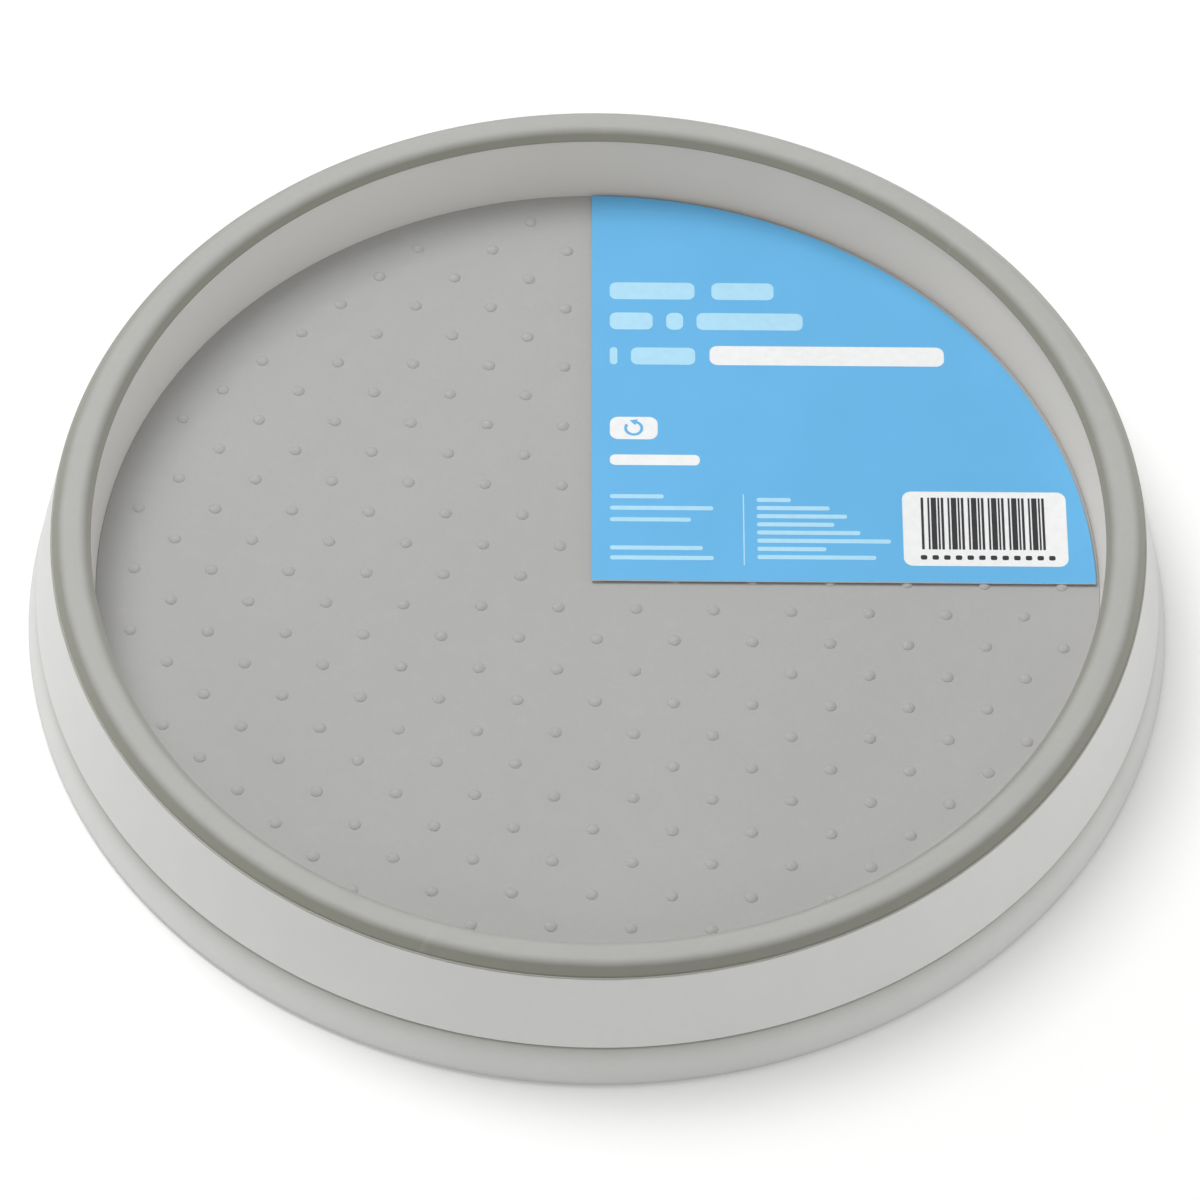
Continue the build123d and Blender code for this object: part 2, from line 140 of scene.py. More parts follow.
def rounded(corners: Sequence[Corner], steps: int = 5) -> np.ndarray:
    """A closed polygon whose corners become arcs.

    With u and v the unit vectors from a corner P to its neighbours and h half the angle between them, the arc is
    centred at P + unit(u + v) * radius / sin h and runs from P + u * d to P + v * d, where d = radius / tan h.
    One more point beside each end of an arc keeps the flats flat under smooth shading.

    Args:
        corners: Each corner as (x, y, radius). A radius of 0 leaves it sharp.
        steps: Steps in each arc.

    Returns:
        The outline as an array of shape (n, 2).
    """
    table = np.array(corners, float)
    point, radius = table[:, :2], table[:, 2]
    back, ahead = np.roll(point, 1, axis=0) - point, np.roll(point, -1, axis=0) - point
    lengths = np.stack([np.linalg.norm(back, axis=1), np.linalg.norm(ahead, axis=1)])
    u, v = unit(back), unit(ahead)
    half = np.arccos(np.clip((u * v).sum(1), -1, 1)) / 2
    reach = radius / np.tan(np.maximum(half, 1e-6))
    fit = np.minimum(1, 0.48 * lengths.min(0) / np.maximum(reach, 1e-12))
    radius, reach = radius * fit, reach * fit
    middle = point + unit(u + v) * (radius / np.maximum(np.sin(half), 1e-6))[:, None]
    sweep = np.clip(np.pi - 2 * half, 1e-4, np.pi - 1e-4)[:, None]
    share = np.linspace(0, 1, steps + 1)
    first = (np.sin((1 - share) * sweep) / np.sin(sweep))[..., None] * (point + u * reach[:, None] - middle)[:, None]
    second = (np.sin(share * sweep) / np.sin(sweep))[..., None] * (point + v * reach[:, None] - middle)[:, None]
    arcs = middle[:, None] + first + second
    pads = np.minimum(0.5 * radius, 0.4 * (lengths - 2 * reach).clip(0))
    before = point + u * (reach + pads[0])[:, None]
    after = point + v * (reach + pads[1])[:, None]
    strip = np.concatenate([before[:, None], arcs, after[:, None]], axis=1)
    sharp = radius <= 0
    strip[sharp] = point[sharp][:, None]
    keep = np.ones(strip.shape[:2], bool)
    keep[sharp, 1:] = False
    return strip[keep]


def lathe(profile: np.ndarray, turns: int = 360) -> Surface:
    """A profile carried round the spin axis: (r, z) goes to (r cos a, r sin a, z) for every angle a.

    The profile runs outward along the bottom, up the outside and inward along the top, so faces point outwards.
    One that starts and ends on the axis closes there in two fans. Any other closes on itself.

    Args:
        profile: Array of shape (n, 2) of radius and height.
        turns: Steps round the axis.

    Returns:
        The closed surface.
    """
    poles = profile[0, 0] < 1e-9 and profile[-1, 0] < 1e-9
    rings = profile[1:-1] if poles else profile
    angle = np.arange(turns) * (2 * np.pi / turns)
    radius, height = rings[:, :1], rings[:, 1:]
    grid = np.stack([radius * np.cos(angle), radius * np.sin(angle), height + 0 * angle], axis=-1)
    index = np.arange(grid.shape[0] * turns).reshape(-1, turns)
    beside = np.roll(index, -1, axis=1)
    if not poles:
        upper, upper_beside = np.roll(index, -1, axis=0), np.roll(beside, -1, axis=0)
        quads = np.stack([index, beside, upper_beside, upper], axis=-1).reshape(-1, 4)
        return Surface(grid.reshape(-1, 3), [quads])
    quads = np.stack([index[:-1], beside[:-1], beside[1:], index[1:]], axis=-1).reshape(-1, 4)
    low, high = index.size, index.size + 1
    first_fan = np.stack([np.full(turns, low), beside[0], index[0]], axis=-1)
    last_fan = np.stack([index[-1], beside[-1], np.full(turns, high)], axis=-1)
    ends = np.array([[0, 0, profile[0, 1]], [0, 0, profile[-1, 1]]])
    return Surface(np.vstack([grid.reshape(-1, 3), ends]), [quads, np.vstack([first_fan, last_fan])])


def prism(low: np.ndarray, high: np.ndarray) -> Surface:
    """A closed solid between two matching outlines.

    Side faces join point k to k + 1 of both outlines, and one face closes each end.

    Args:
        low: Outline of shape (n, 3), anticlockwise as seen from the high one.
        high: The matching outline at the other end.

    Returns:
        The closed surface.
    """
    count = len(low)
    near = np.arange(count)
    beside = np.roll(near, -1)
    sides = np.stack([near, beside, beside + count, near + count], axis=-1)
    return Surface(np.vstack([low, high]), [sides, near[None, ::-1], near[None] + count])


def plate(outline: np.ndarray, low: float, high: float) -> Surface:
    """A flat outline of shape (n, 2) thickened from height low to height high."""
    return prism(np.insert(outline, 2, low, axis=1), np.insert(outline, 2, high, axis=1))


def radial_bar(start: float, stop: float, width: float, low: float, high: float, edge: float) -> Surface:
    """A bar along +X whose (y, z) section, a box with two rounded lower edges, is carried from start to stop.

    Args:
        start: Radius where the bar starts.
        stop: Radius where it ends.
        width: Its width.
        low: Its lower height.
        high: Its upper height.
        edge: Radius of its lower edges.

    Returns:
        The closed surface.
    """
    section = rounded(
        [(-width / 2, low, edge), (width / 2, low, edge), (width / 2, high, 0), (-width / 2, high, 0)], 4
    )
    return prism(np.insert(section, 0, start, axis=1), np.insert(section, 0, stop, axis=1))


def bars(boxes: Sequence[tuple[float, float, float, float]], radius: float, steps: int = 3) -> list[np.ndarray]:
    """Rounded rectangles, each from (left, bottom, right, top).

    Args:
        boxes: The rectangles' sides.
        radius: Their corners' radius, at most just under half the shorter side.
        steps: Steps in each corner.

    Returns:
        One outline for each rectangle.
    """
    outlines = []
    for left, bottom, right, top in boxes:
        r = min(radius, 0.47 * (top - bottom), 0.47 * (right - left))
        outlines.append(rounded([(left, bottom, r), (right, bottom, r), (right, top, r), (left, top, r)], steps))
    return outlines


def put(name: str, surface: Surface, body: str, material: Material, stands_for: Sequence[str] = (),
        crease: float = 38.0) -> None:
    """Makes a surface an object that rides on its body, at the origin, with its place in its mesh.

    Args:
        name: The piece's name.
        surface: Its points and faces.
        body: The body it moves with.
        material: Its material.
        stands_for: CAD nodes that it is shown in place of.
        crease: Edges sharper than this angle in degrees stay crisp.
    """
    mesh = bpy.data.meshes.new(name)
    corners = np.concatenate([block.ravel() for block in surface.blocks])
    counts = np.concatenate([np.full(len(block), block.shape[1]) for block in surface.blocks])
    mesh.vertices.add(len(surface.points))
    mesh.vertices.foreach_set("co", (surface.points * MM).astype(np.float32).ravel())
    mesh.loops.add(len(corners))
    mesh.loops.foreach_set("vertex_index", corners.astype(np.int32))
    mesh.polygons.add(len(counts))
    mesh.polygons.foreach_set("loop_start", np.concatenate([[0], np.cumsum(counts)[:-1]]).astype(np.int32))
    mesh.polygons.foreach_set("use_smooth", np.ones(len(counts), bool))
    mesh.update(calc_edges=True)
    mesh.validate()
    mesh.set_sharp_from_angle(angle=math.radians(crease))
    mesh.materials.append(material)
    piece = bpy.data.objects.new(name, mesh)
    bpy.context.scene.collection.objects.link(piece)
    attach(piece, body)
    if stands_for:
        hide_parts(*stands_for)
    log.info("%s: %d points, %d faces, on %s", name, len(surface.points), len(counts), body)


def dress(node: str, material: Material) -> None:
    """Gives a CAD node that stays in view its material.

    Args:
        node: The CAD node's name.
        material: Its material.
    """
    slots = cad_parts[node].data.materials
    slots.clear()
    slots.append(material)
    log.info("%s: kept from the frame, material %s", node, material.name)


# ---------------------------------------------------------------- shader nodes


class Bench:
    """Adds nodes to one tree and joins them."""

    def __init__(self, tree: Tree) -> None:
        """Starts on a tree."""
        self.tree = tree

    def add(self, kind: str, settings: dict | None = None, **inputs: object) -> bpy.types.Node:
        """Adds a node.

        Args:
            kind: The node's type.
            settings: Its own properties.
            inputs: Values or output sockets for its inputs. "A_7" means input number 7, and "_" in a name is a space.

        Returns:
            The node.
        """
        node = self.tree.nodes.new("ShaderNode" + kind)
        for key, value in (settings or {}).items():
            setattr(node, key, value)
        for key, value in inputs.items():
            socket = node.inputs[int(key[2:])] if key[:2] == "A_" else node.inputs[key.replace("_", " ")]
            if isinstance(value, Socket):
                self.tree.links.new(value, socket)
            else:
                socket.default_value = value
        return node

    def math(self, operation: str, first: object, second: object = 0.5, clamp: bool = False) -> Socket:
        """The result of one sum."""
        return self.add("Math", {"operation": operation, "use_clamp": clamp}, A_0=first, A_1=second).outputs[0]

    def times(self, first: object, second: object) -> Socket:
        """The product of two values."""
        return self.math("MULTIPLY", first, second)

    def vector(self, operation: str, first: object, output: str = "Vector", **others: object) -> Socket:
        """The result of one sum with vectors."""
        return self.add("VectorMath", {"operation": operation}, A_0=first, **others).outputs[output]

    def outward(self, place: Socket) -> Socket:
        """The level vector from the spin axis to a place."""
        return self.vector("MULTIPLY", place, A_1=(1.0, 1.0, 0.0))

    def span(self, value: object, low: float, high: float, to_low: object, to_high: object) -> Socket:
        """A value carried smoothly from the range low to high into the range to_low to to_high."""
        return self.add("MapRange", {"interpolation_type": "SMOOTHSTEP", "clamp": True}, A_0=value, A_1=low,
                        A_2=high, A_3=to_low, A_4=to_high).outputs[0]

    def blend(self, factor: object, first: object, second: object) -> Socket:
        """Two colours mixed by a factor."""
        return self.add("Mix", {"data_type": "RGBA"}, A_0=factor, A_6=first, A_7=second).outputs[2]

    def noise(self, vector: object, scale: object, detail: float = 2.0, rough: float = 0.5) -> Socket:
        """A noise texture's value."""
        return self.add("TexNoise", {"noise_dimensions": "3D"}, Vector=vector, Scale=scale, Detail=detail,
                        Roughness=rough).outputs[0]


def rgba(colour: Colour, gain: float = 1.0) -> tuple[float, float, float, float]:
    """A colour with its alpha, made lighter or darker."""
    return (colour[0] * gain, colour[1] * gain, colour[2] * gain, 1.0)


class Group(Bench):
    """A shader node group with one output value."""

    def __init__(self, name: str, output: str, **inputs: float | None) -> None:
        """Starts a group.

        Args:
            name: The group's name.
            output: The output's name.
            inputs: Each input's starting value, or None for a vector.
        """
        super().__init__(bpy.data.node_groups.new(name, "ShaderNodeTree"))
        for label, value in inputs.items():
            kind = "NodeSocketVector" if value is None else "NodeSocketFloat"
            socket = self.tree.interface.new_socket(name=label, in_out="INPUT", socket_type=kind)
            if value is not None:
                socket.default_value = value
        self.tree.interface.new_socket(name=output, in_out="OUTPUT", socket_type="NodeSocketFloat")
        self.given = self.tree.nodes.new("NodeGroupInput").outputs
        self.result = self.tree.nodes.new("NodeGroupOutput").inputs[output]

    def give(self, value: Socket) -> Tree:
        """Joins the value to the output and hands the group over."""
        self.tree.links.new(value, self.result)
        return self.tree


class Effects:
    """The effects that several finishes share, each a node group that gives one value over the surface."""

    def __init__(self) -> None:
        """Builds every group once."""
        self.grain, self.mottle, self.dust = self._grain(), self._mottle(), self._dust()
        self.scuffs, self.band, self.rings, self.inward = self._scuffs(), self._band(), self._rings(), self._inward()

    def _grain(self) -> Tree:
        """Mould texture: fine noise with a share of noise seven times as coarse.

        Returns:
            The group.
        """
        g = Group("mould_grain", "Height", Vector=None, Scale=2500.0, Coarse=0.3)
        place, scale, coarse = (g.given[name] for name in ("Vector", "Scale", "Coarse"))
        fine, wide = g.noise(place, scale, 1.0), g.noise(place, g.math("DIVIDE", scale, 7.0))
        return g.give(g.math("ADD", g.times(fine, g.math("SUBTRACT", 1.0, coarse)), g.times(wide, coarse)))

    def _mottle(self) -> Tree:
        """Slow, cloudy change of shade from 0 to 1."""
        g = Group("mottle", "Shade", Vector=None, Scale=30.0)
        return g.give(g.span(g.noise(g.given["Vector"], g.given["Scale"], 4.0, 0.6), 0.3, 0.7, 0.0, 1.0))

    def _dust(self) -> Tree:
        """Dust that settles on what faces up: the square of the upward part times broken noise.

        Returns:
            The group.
        """
        g = Group("dust", "Mask", Vector=None, Upward=0.0, Scale=160.0)
        up = g.math("MAXIMUM", g.given["Upward"], 0.0)
        specks = g.span(g.noise(g.given["Vector"], g.given["Scale"], 6.0, 0.75), 0.46, 0.74, 0.0, 1.0)
        return g.give(g.times(g.times(up, up), specks))

    def _scuffs(self) -> Tree:
        """Short hairlines: noise stretched in two directions, kept only at its crests.

        Returns:
            The group.
        """
        g = Group("scuffs", "Mask", Vector=None, Scale=1.0)
        spread = g.vector("SCALE", g.given["Vector"], Scale=g.given["Scale"])
        lines = []
        for turn, stretch in ((0.5, (35.0, 900.0, 35.0)), (-0.9, (28.0, 760.0, 28.0))):
            turned = g.add("Mapping", {"vector_type": "POINT"}, Vector=spread, Rotation=(0.0, 0.0, turn)).outputs[0]
            drawn = g.noise(g.vector("MULTIPLY", turned, A_1=stretch), 1.0, 1.0)
            lines.append(g.span(drawn, 0.72, 0.80, 0.0, 1.0))
        return g.give(g.math("MAXIMUM", *lines))

    def _band(self) -> Tree:
        """1 below the low height, 0 above the high one, with a slightly uneven border.

        Returns:
            The group.
        """
        g = Group("height_band", "Mask", Vector=None, Low=0.0, High=0.001, Uneven=0.0002)
        place, high = g.given["Vector"], g.given["High"]
        wave = g.math("SUBTRACT", g.noise(place, 120.0), 0.5)
        level = g.math("ADD", g.add("SeparateXYZ", A_0=place).outputs[2], g.times(wave, g.given["Uneven"]))
        height = g.math("SUBTRACT", high, g.given["Low"])
        return g.give(g.math("DIVIDE", g.math("SUBTRACT", high, level), height, clamp=True))

    def _rings(self) -> Tree:
        """Fine turning marks: the sine of the distance to the spin axis, times noise.

        Returns:
            The group.
        """
        g = Group("turning_marks", "Height", Vector=None, Pitch=0.0004)
        place = g.given["Vector"]
        reach = g.vector("LENGTH", g.outward(place), "Value")
        phase = g.times(g.math("DIVIDE", reach, g.given["Pitch"]), 2 * math.pi)
        return g.give(g.times(g.math("SINE", phase), g.noise(place, 90.0)))

    def _inward(self) -> Tree:
        """1 where a surface faces the spin axis, 0 where it faces up or out: minus the normal along the radius.

        Returns:
            The group.
        """
        g = Group("facing_axis", "Mask", Vector=None, Normal=None)
        out = g.vector("NORMALIZE", g.outward(g.given["Vector"]))
        along = g.vector("DOT_PRODUCT", out, "Value", A_1=g.given["Normal"])
        return g.give(g.span(along, -0.35, -0.05, 1.0, 0.0))


# ---------------------------------------------------------------- finishes


@dataclass(frozen=True)
class Finish:
    """What all finishes have."""

    name: str
    colour: Colour
    roughness: float


class Coat(Bench):
    """A material in the making: its shader, the object coordinates on it, and the shared effects at hand."""

    def __init__(self, finish: Finish, fx: Effects, **plain: object) -> None:
        """Starts a finish's material.

        Args:
            finish: The finish.
            fx: The shared effects.
            plain: Shader inputs that have one value all over the surface.
        """
        self.material = bpy.data.materials.new(finish.name)
        self.material.use_nodes = True
        super().__init__(self.material.node_tree)
        self.tree.nodes.clear()
        self.finish, self.fx = finish, fx
        self.shader = self.add("BsdfPrincipled", Base_Color=rgba(finish.colour), Roughness=finish.roughness, **plain)
        self.add("OutputMaterial", Surface=self.shader.outputs[0])
        coordinates = self.add("TexCoord").outputs
        self.place, self.normal = coordinates["Object"], coordinates["Normal"]
        self.upward = self.add("SeparateXYZ", A_0=self.normal).outputs[2]

    def effect(self, group: Tree, **inputs: object) -> Socket:
        """A shared effect's value on this surface."""
        return self.add("Group", {"node_tree": group}, Vector=self.place, **inputs).outputs[0]

    def mottle(self, scale: float) -> Socket:
        """Cloudy shade from 0 to 1."""
        return self.effect(self.fx.mottle, Scale=scale)

    def dust(self, scale: float = 160.0) -> Socket:
        """Where dust lies."""
        return self.effect(self.fx.dust, Upward=self.upward, Scale=scale)

    def scuff(self, scale: float) -> Socket:
        """Where hairlines run."""
        return self.effect(self.fx.scuffs, Scale=scale)

    def below(self, band: Band, uneven: float = 0.0003) -> Socket:
        """What lies below a band of heights, with an uneven border."""
        return self.effect(self.fx.band, Low=band[0], High=band[1], Uneven=uneven)

    def inward(self) -> Socket:
        """What faces the spin axis."""
        return self.effect(self.fx.inward, Normal=self.normal)

    def tint(self, factor: object, low: float, high: float) -> Socket:
        """The finish's colour between two gains."""
        return self.blend(factor, rgba(self.finish.colour, low), rgba(self.finish.colour, high))

    def overlay(self, mask: object, share: float, under: object, colour: tuple) -> Socket:
        """A colour laid over another by a share of a mask."""
        return self.blend(self.times(mask, share), under, colour)

    def gloss(self, factor: object, low: float, high: float) -> Socket:
        """The finish's roughness changed by low to high."""
        rough = self.finish.roughness
        return self.span(factor, 0.0, 1.0, rough + low, rough + high)

    def join(self, **links: Socket) -> None:
        """Joins sockets to the shader's inputs by name."""
        for key, socket in links.items():
            self.tree.links.new(socket, self.shader.inputs[key.replace("_", " ")])

    def done(self, colour: Socket, roughness: Socket, height: Socket, strength: float, depth: float) -> Material:
        """Joins the colour, the roughness and the relief.

        Args:
            colour: The base colour.
            roughness: The roughness.
            height: The relief's height.
            strength: The relief's strength.
            depth: How deep the relief is, in metres.

        Returns:
            The material.
        """
        relief = self.add("Bump", Height=height, Strength=strength, Distance=depth).outputs[0]
        self.join(Base_Color=colour, Roughness=roughness, Normal=relief)
        return self.material


@dataclass(frozen=True)
class MouldedPlastic(Finish):
    """Satin injection moulding: fine spark texture, faint flow mottle, hairline scuffs, dust, a darker low edge,
    painted shade that deepens to the top of a band of heights, and painted light on faces toward the spin axis.
    """

    grain: float = 0.12
    mottle: float = 0.03
    # A band of heights below which the colour darkens, its strength, and the darker colour, which the painted shade
    # uses too.
    low_edge_band: Band = (0.0, 0.001)
    low_edge_dark: float = 0.0
    edge_and_shade_colour: Colour = (0.42, 0.41, 0.37)
    # Painted shade: a band of heights, above which the colour turns darkest, and its strength.
    painted_shade_band: Band = (0.0, 0.001)
    painted_shade: float = 0.0
    # Painted light: a lighter, warmer colour for faces toward the spin axis.
    inside: Colour | None = None

    def material(self, fx: Effects) -> Material:
        """The finish as a material.

        Args:
            fx: The shared effects.

        Returns:
            The material.
        """
        c = Coat(self, fx, Specular_IOR_Level=0.42)
        shade = c.mottle(26.0)
        body = c.tint(shade, 1 - self.mottle, 1 + 0.5 * self.mottle)
        body = c.overlay(c.mottle(420.0), 0.35, body, rgba(self.colour, 0.97))
        # Painted light: faces toward the spin axis take the lighter, warmer colour.
        if self.inside:
            body = c.overlay(c.inward(), 0.9, body, rgba(self.inside))
        # Darker below the low band of heights.
        if self.low_edge_dark > 0:
            body = c.overlay(c.below(self.low_edge_band, 0.0004), self.low_edge_dark, body, rgba(self.edge_and_shade_colour))
        # Painted shade: the darkening grows as the cube of the way up through the band, and is strongest at its top.
        if self.painted_shade > 0:
            above = c.math("SUBTRACT", 1.0, c.below(self.painted_shade_band))
            body = c.overlay(c.math("POWER", above, 3.0), self.painted_shade, body, rgba(self.edge_and_shade_colour))
        dust, scuff = c.dust(), c.scuff(0.8)
        body = c.overlay(dust, 0.10, body, (0.70, 0.69, 0.66, 1.0))
        gloss = c.math("ADD", c.gloss(shade, -0.04, 0.05), c.math("ADD", c.times(dust, 0.15), c.times(scuff, 0.08)))
        relief = c.math("SUBTRACT", c.effect(fx.grain, Scale=2600.0, Coarse=0.35), c.times(scuff, 0.25))
        return c.done(body, gloss, relief, self.grain, 0.00006)


@dataclass(frozen=True)
class SoftElastomer(Finish):
    """Soft-touch rubber: matt skin with a velvet sheen, bloom in patches, fine pits, and painted shade on its sides
    low down.
    """

    # Painted shade: the colour and the height bands that darken the outer sides and the sides toward the spin axis.
    side_shade_colour: Colour = (0.33, 0.33, 0.29)
    outer_shade_band: Band | None = None
    inner_shade_band: Band = (0.0, 0.001)
    pits: float = 0.3
    rub: float = 0.0
    sheen: float = 0.08

    def material(self, fx: Effects) -> Material:
        """The finish as a material.

        Args:
            fx: The shared effects.

        Returns:
            The material.
        """
        c = Coat(self, fx, Specular_IOR_Level=0.28, Sheen_Weight=self.sheen, Sheen_Roughness=0.5)
        bloom = c.mottle(18.0)
        body = c.tint(bloom, 0.975, 1.02)
        body = c.overlay(c.mottle(900.0), 0.3, body, rgba(self.colour, 0.93))
        # Painted shade: the sides darken below the outer band where they face out, and below the inner band where they
        # face the axis.
        if self.outer_shade_band:
            inward = c.inward()
            outer = c.times(c.below(self.outer_shade_band), c.math("SUBTRACT", 1.0, inward))
            inner = c.times(c.below(self.inner_shade_band), inward)
            body = c.blend(c.math("ADD", outer, inner), body, rgba(self.side_shade_colour))
        body = c.overlay(c.dust(210.0), 0.07, body, (0.62, 0.61, 0.58, 1.0))
        body = c.overlay(c.scuff(0.6), self.rub, body, rgba(self.colour, 1.12))
        grain = c.effect(fx.grain, Scale=2100.0, Coarse=0.45)
        return c.done(body, c.gloss(bloom, -0.05, 0.06), grain, self.pits, 0.00008)


@dataclass(frozen=True)
class PrintedCard(Finish):
    """Coated card: even ink on the face that looks up, bare white board on the edge and underneath.

    The light that it throws on the wall is nearly neutral.
    """

    board: Colour = (0.83, 0.83, 0.80)

    def material(self, fx: Effects) -> Material:
        """The finish as a material.

        Args:
            fx: The shared effects.

        Returns:
            The material.
        """
        c = Coat(self, fx, Specular_IOR_Level=0.35)
        shade = c.mottle(55.0)
        path = c.add("LightPath").outputs
        bounced = c.math("MAXIMUM", path["Is Diffuse Ray"], path["Is Glossy Ray"])
        ink = c.overlay(bounced, 0.92, c.tint(shade, 0.985, 1.012), (0.46, 0.46, 0.45, 1.0))
        paper = c.blend(c.mottle(1500.0), rgba(self.board, 0.93), rgba(self.board, 1.03))
        body = c.blend(c.span(c.upward, 0.6, 0.9, 0.0, 1.0), paper, ink)
        gloss = c.math("ADD", c.gloss(shade, -0.03, 0.04), c.times(c.scuff(1.3), 0.10))
        return c.done(body, gloss, c.effect(fx.grain, Scale=1400.0, Coarse=0.6), 0.10, 0.00004)


@dataclass(frozen=True)
class Ink(Finish):
    """A print laid on the card: flat colour with slightly uneven density."""

    def material(self, fx: Effects) -> Material:
        """The finish as a material.

        Args:
            fx: The shared effects.

        Returns:
            The material.
        """
        c = Coat(self, fx, Specular_IOR_Level=0.35)
        shade = c.mottle(600.0)
        grain = c.effect(fx.grain, Scale=1400.0, Coarse=0.6)
        return c.done(c.tint(shade, 0.96, 1.01), c.gloss(shade, -0.03, 0.04), grain, 0.08, 0.00003)


@dataclass(frozen=True)
class Metal(Finish):
    """Bare or plated metal: turning marks, cloudy tarnish and hairline scratches."""

    marks: float = 0.1
    tarnish: Colour = (0.45, 0.43, 0.38)
    tarnish_share: float = 0.2

    def material(self, fx: Effects) -> Material:
        """The finish as a material.

        Args:
            fx: The shared effects.

        Returns:
            The material.
        """
        c = Coat(self, fx, Metallic=1.0)
        cloud, scratch = c.mottle(350.0), c.scuff(4.0)
        body = c.overlay(cloud, self.tarnish_share, rgba(self.colour), rgba(self.tarnish))
        gloss = c.math("ADD", c.gloss(cloud, -0.03, 0.08), c.times(scratch, 0.12))
        relief = c.math("SUBTRACT", c.effect(fx.rings, Pitch=0.00025), c.times(scratch, 0.5))
        return c.done(body, gloss, relief, self.marks, 0.00004)


@dataclass(frozen=True)
class Acetal(Finish):
    """Dense milky plastic with turning marks, a waxy gloss and grey grease smears."""

    def material(self, fx: Effects) -> Material:
        """The finish as a material.

        Args:
            fx: The shared effects.

        Returns:
            The material.
        """
        c = Coat(self, fx, Subsurface_Weight=0.12, Subsurface_Radius=(0.0012, 0.0010, 0.0008))
        most = 0.35
        smear = c.span(c.noise(c.place, 75.0, 5.0, 0.7), 0.52, 0.72, 0.0, most)
        body = c.blend(smear, c.tint(c.mottle(140.0), 0.94, 1.02), (0.48, 0.47, 0.42, 1.0))
        gloss = c.span(smear, 0.0, most, self.roughness, self.roughness - 0.10)
        return c.done(body, gloss, c.effect(fx.rings, Pitch=0.0005), 0.12, 0.00004)


@dataclass(frozen=True)
class StudioFloor(Finish):
    """A plain pale floor with barely uneven gloss, which the camera sees fade into the backdrop with distance."""

    lift: float = 0.17
    fade_start: float = 0.14
    fade_end: float = 0.9

    def material(self, fx: Effects) -> Material:
        """The finish as a material.

        Args:
            fx: The shared effects.

        Returns:
            The material.
        """
        c = Coat(self, fx, Specular_IOR_Level=0.1, Emission_Color=(1.0, 1.0, 1.0, 1.0))
        seen = c.add("LightPath").outputs["Is Camera Ray"]
        lift = c.span(c.vector("LENGTH", c.place, "Value"), self.fade_start, self.fade_end, self.lift, 1.0)
        c.join(Roughness=c.gloss(c.mottle(6.0), -0.03, 0.03), Emission_Strength=c.times(seen, lift))
        return c.material


# ---------------------------------------------------------------- shared sizes


def box_mm(node: str) -> tuple[np.ndarray, np.ndarray]:
    """A CAD node's lowest and highest corners in millimetres."""
    low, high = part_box(node)
    return np.array(low) / MM, np.array(high) / MM


def ends(node: str) -> tuple[float, float, float]:
    """A CAD node's lowest height, its highest height and how far it reaches along +X, its radius if it is round."""
    low, high = box_mm(node)
    return float(low[2]), float(high[2]), float(high[0])


@dataclass(frozen=True)
class Layout:
    """Heights and radii in millimetres that several pieces share."""

    edge: float
    lip_top: float
    spindle_bottom: float
    floor_top: float
    dot_top: float
    land: float
    rim_top: float
    mat_radius: float
    taper: float = math.tan(math.radians(12.0))
    draft: float = math.tan(math.radians(3.5))
    flank_wall: float = 2.2
    rim_width: float = 8.2
    mat_gap: float = 0.3
    lip_overlap: float = 1.7
    parting: float = 1.0
    web_recess: float = 2.5
    web: float = 1.6
    race_radius: float = 80.0

    @classmethod
    def read(cls) -> "Layout":
        """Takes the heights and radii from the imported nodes' boxes.

        Returns:
            The layout.
        """
        edge, lip_top, _ = ends("base_pan")
        floor_top, dot_top, mat_radius = ends("floor_mat")
        land, rim_top, _ = ends("rim_grip")
        return cls(edge, lip_top, ends("tray_shell")[0], floor_top, dot_top, land, rim_top, mat_radius)

    @property
    def skirt_bottom(self) -> float:
        """The skirt's lower edge."""
        return self.lip_top - self.lip_overlap

    @property
    def ring_top(self) -> float:
        """The base ring's upper edge."""
        return self.skirt_bottom - self.parting

    @property
    def land_outer(self) -> float:
        """Outer radius of the land under the grip."""
        return self.mat_radius + self.mat_gap + (self.land - self.floor_top) * self.draft + self.rim_width

    @property
    def land_middle(self) -> float:
        """Radius of the tongue's middle."""
        return self.land_outer - self.rim_width / 2

    @property
    def web_bottom(self) -> float:
        """Underside of the base's web."""
        return self.edge + self.web_recess

    def flank(self, z: float) -> float:
        """Radius of the outer cone at height z."""
        return self.land_outer + (self.land - z) * self.taper

    def flank_inside(self, z: float) -> float:
        """Radius of the inside of the flank's wall at height z."""
        return self.flank(z) - self.flank_wall

    def well(self, z: float) -> float:
        """Radius of the well's wall at height z."""
        return self.land_outer - self.rim_width - (self.land - z) * self.draft

    def race(self, level: float, side: int) -> list[Corner]:
        """A race's corners: two ridges beside a track.

        Args:
            level: Height of the face that it stands on.
            side: 1 where that face looks up and -1 where it looks down.

        Returns:
            The corners from outside inward for side 1, and from inside outward for side -1.
        """
        wide, narrow, ridge, track = 3.8, 2.6, 1.7, 0.7
        steps = [(wide, 0, 0.3), (wide, ridge, 0.3), (narrow, ridge, 0.3), (narrow, track, 0.1)]
        steps += [(-across, up, radius) for across, up, radius in steps[::-1]]
        return [(self.race_radius + side * across, level + side * up, radius) for across, up, radius in steps]


# ---------------------------------------------------------------- sub-assemblies


@dataclass
class Assembly:
    """A sub-assembly, with the sizes and the effects that it shares with the others."""

    at: Layout
    fx: Effects


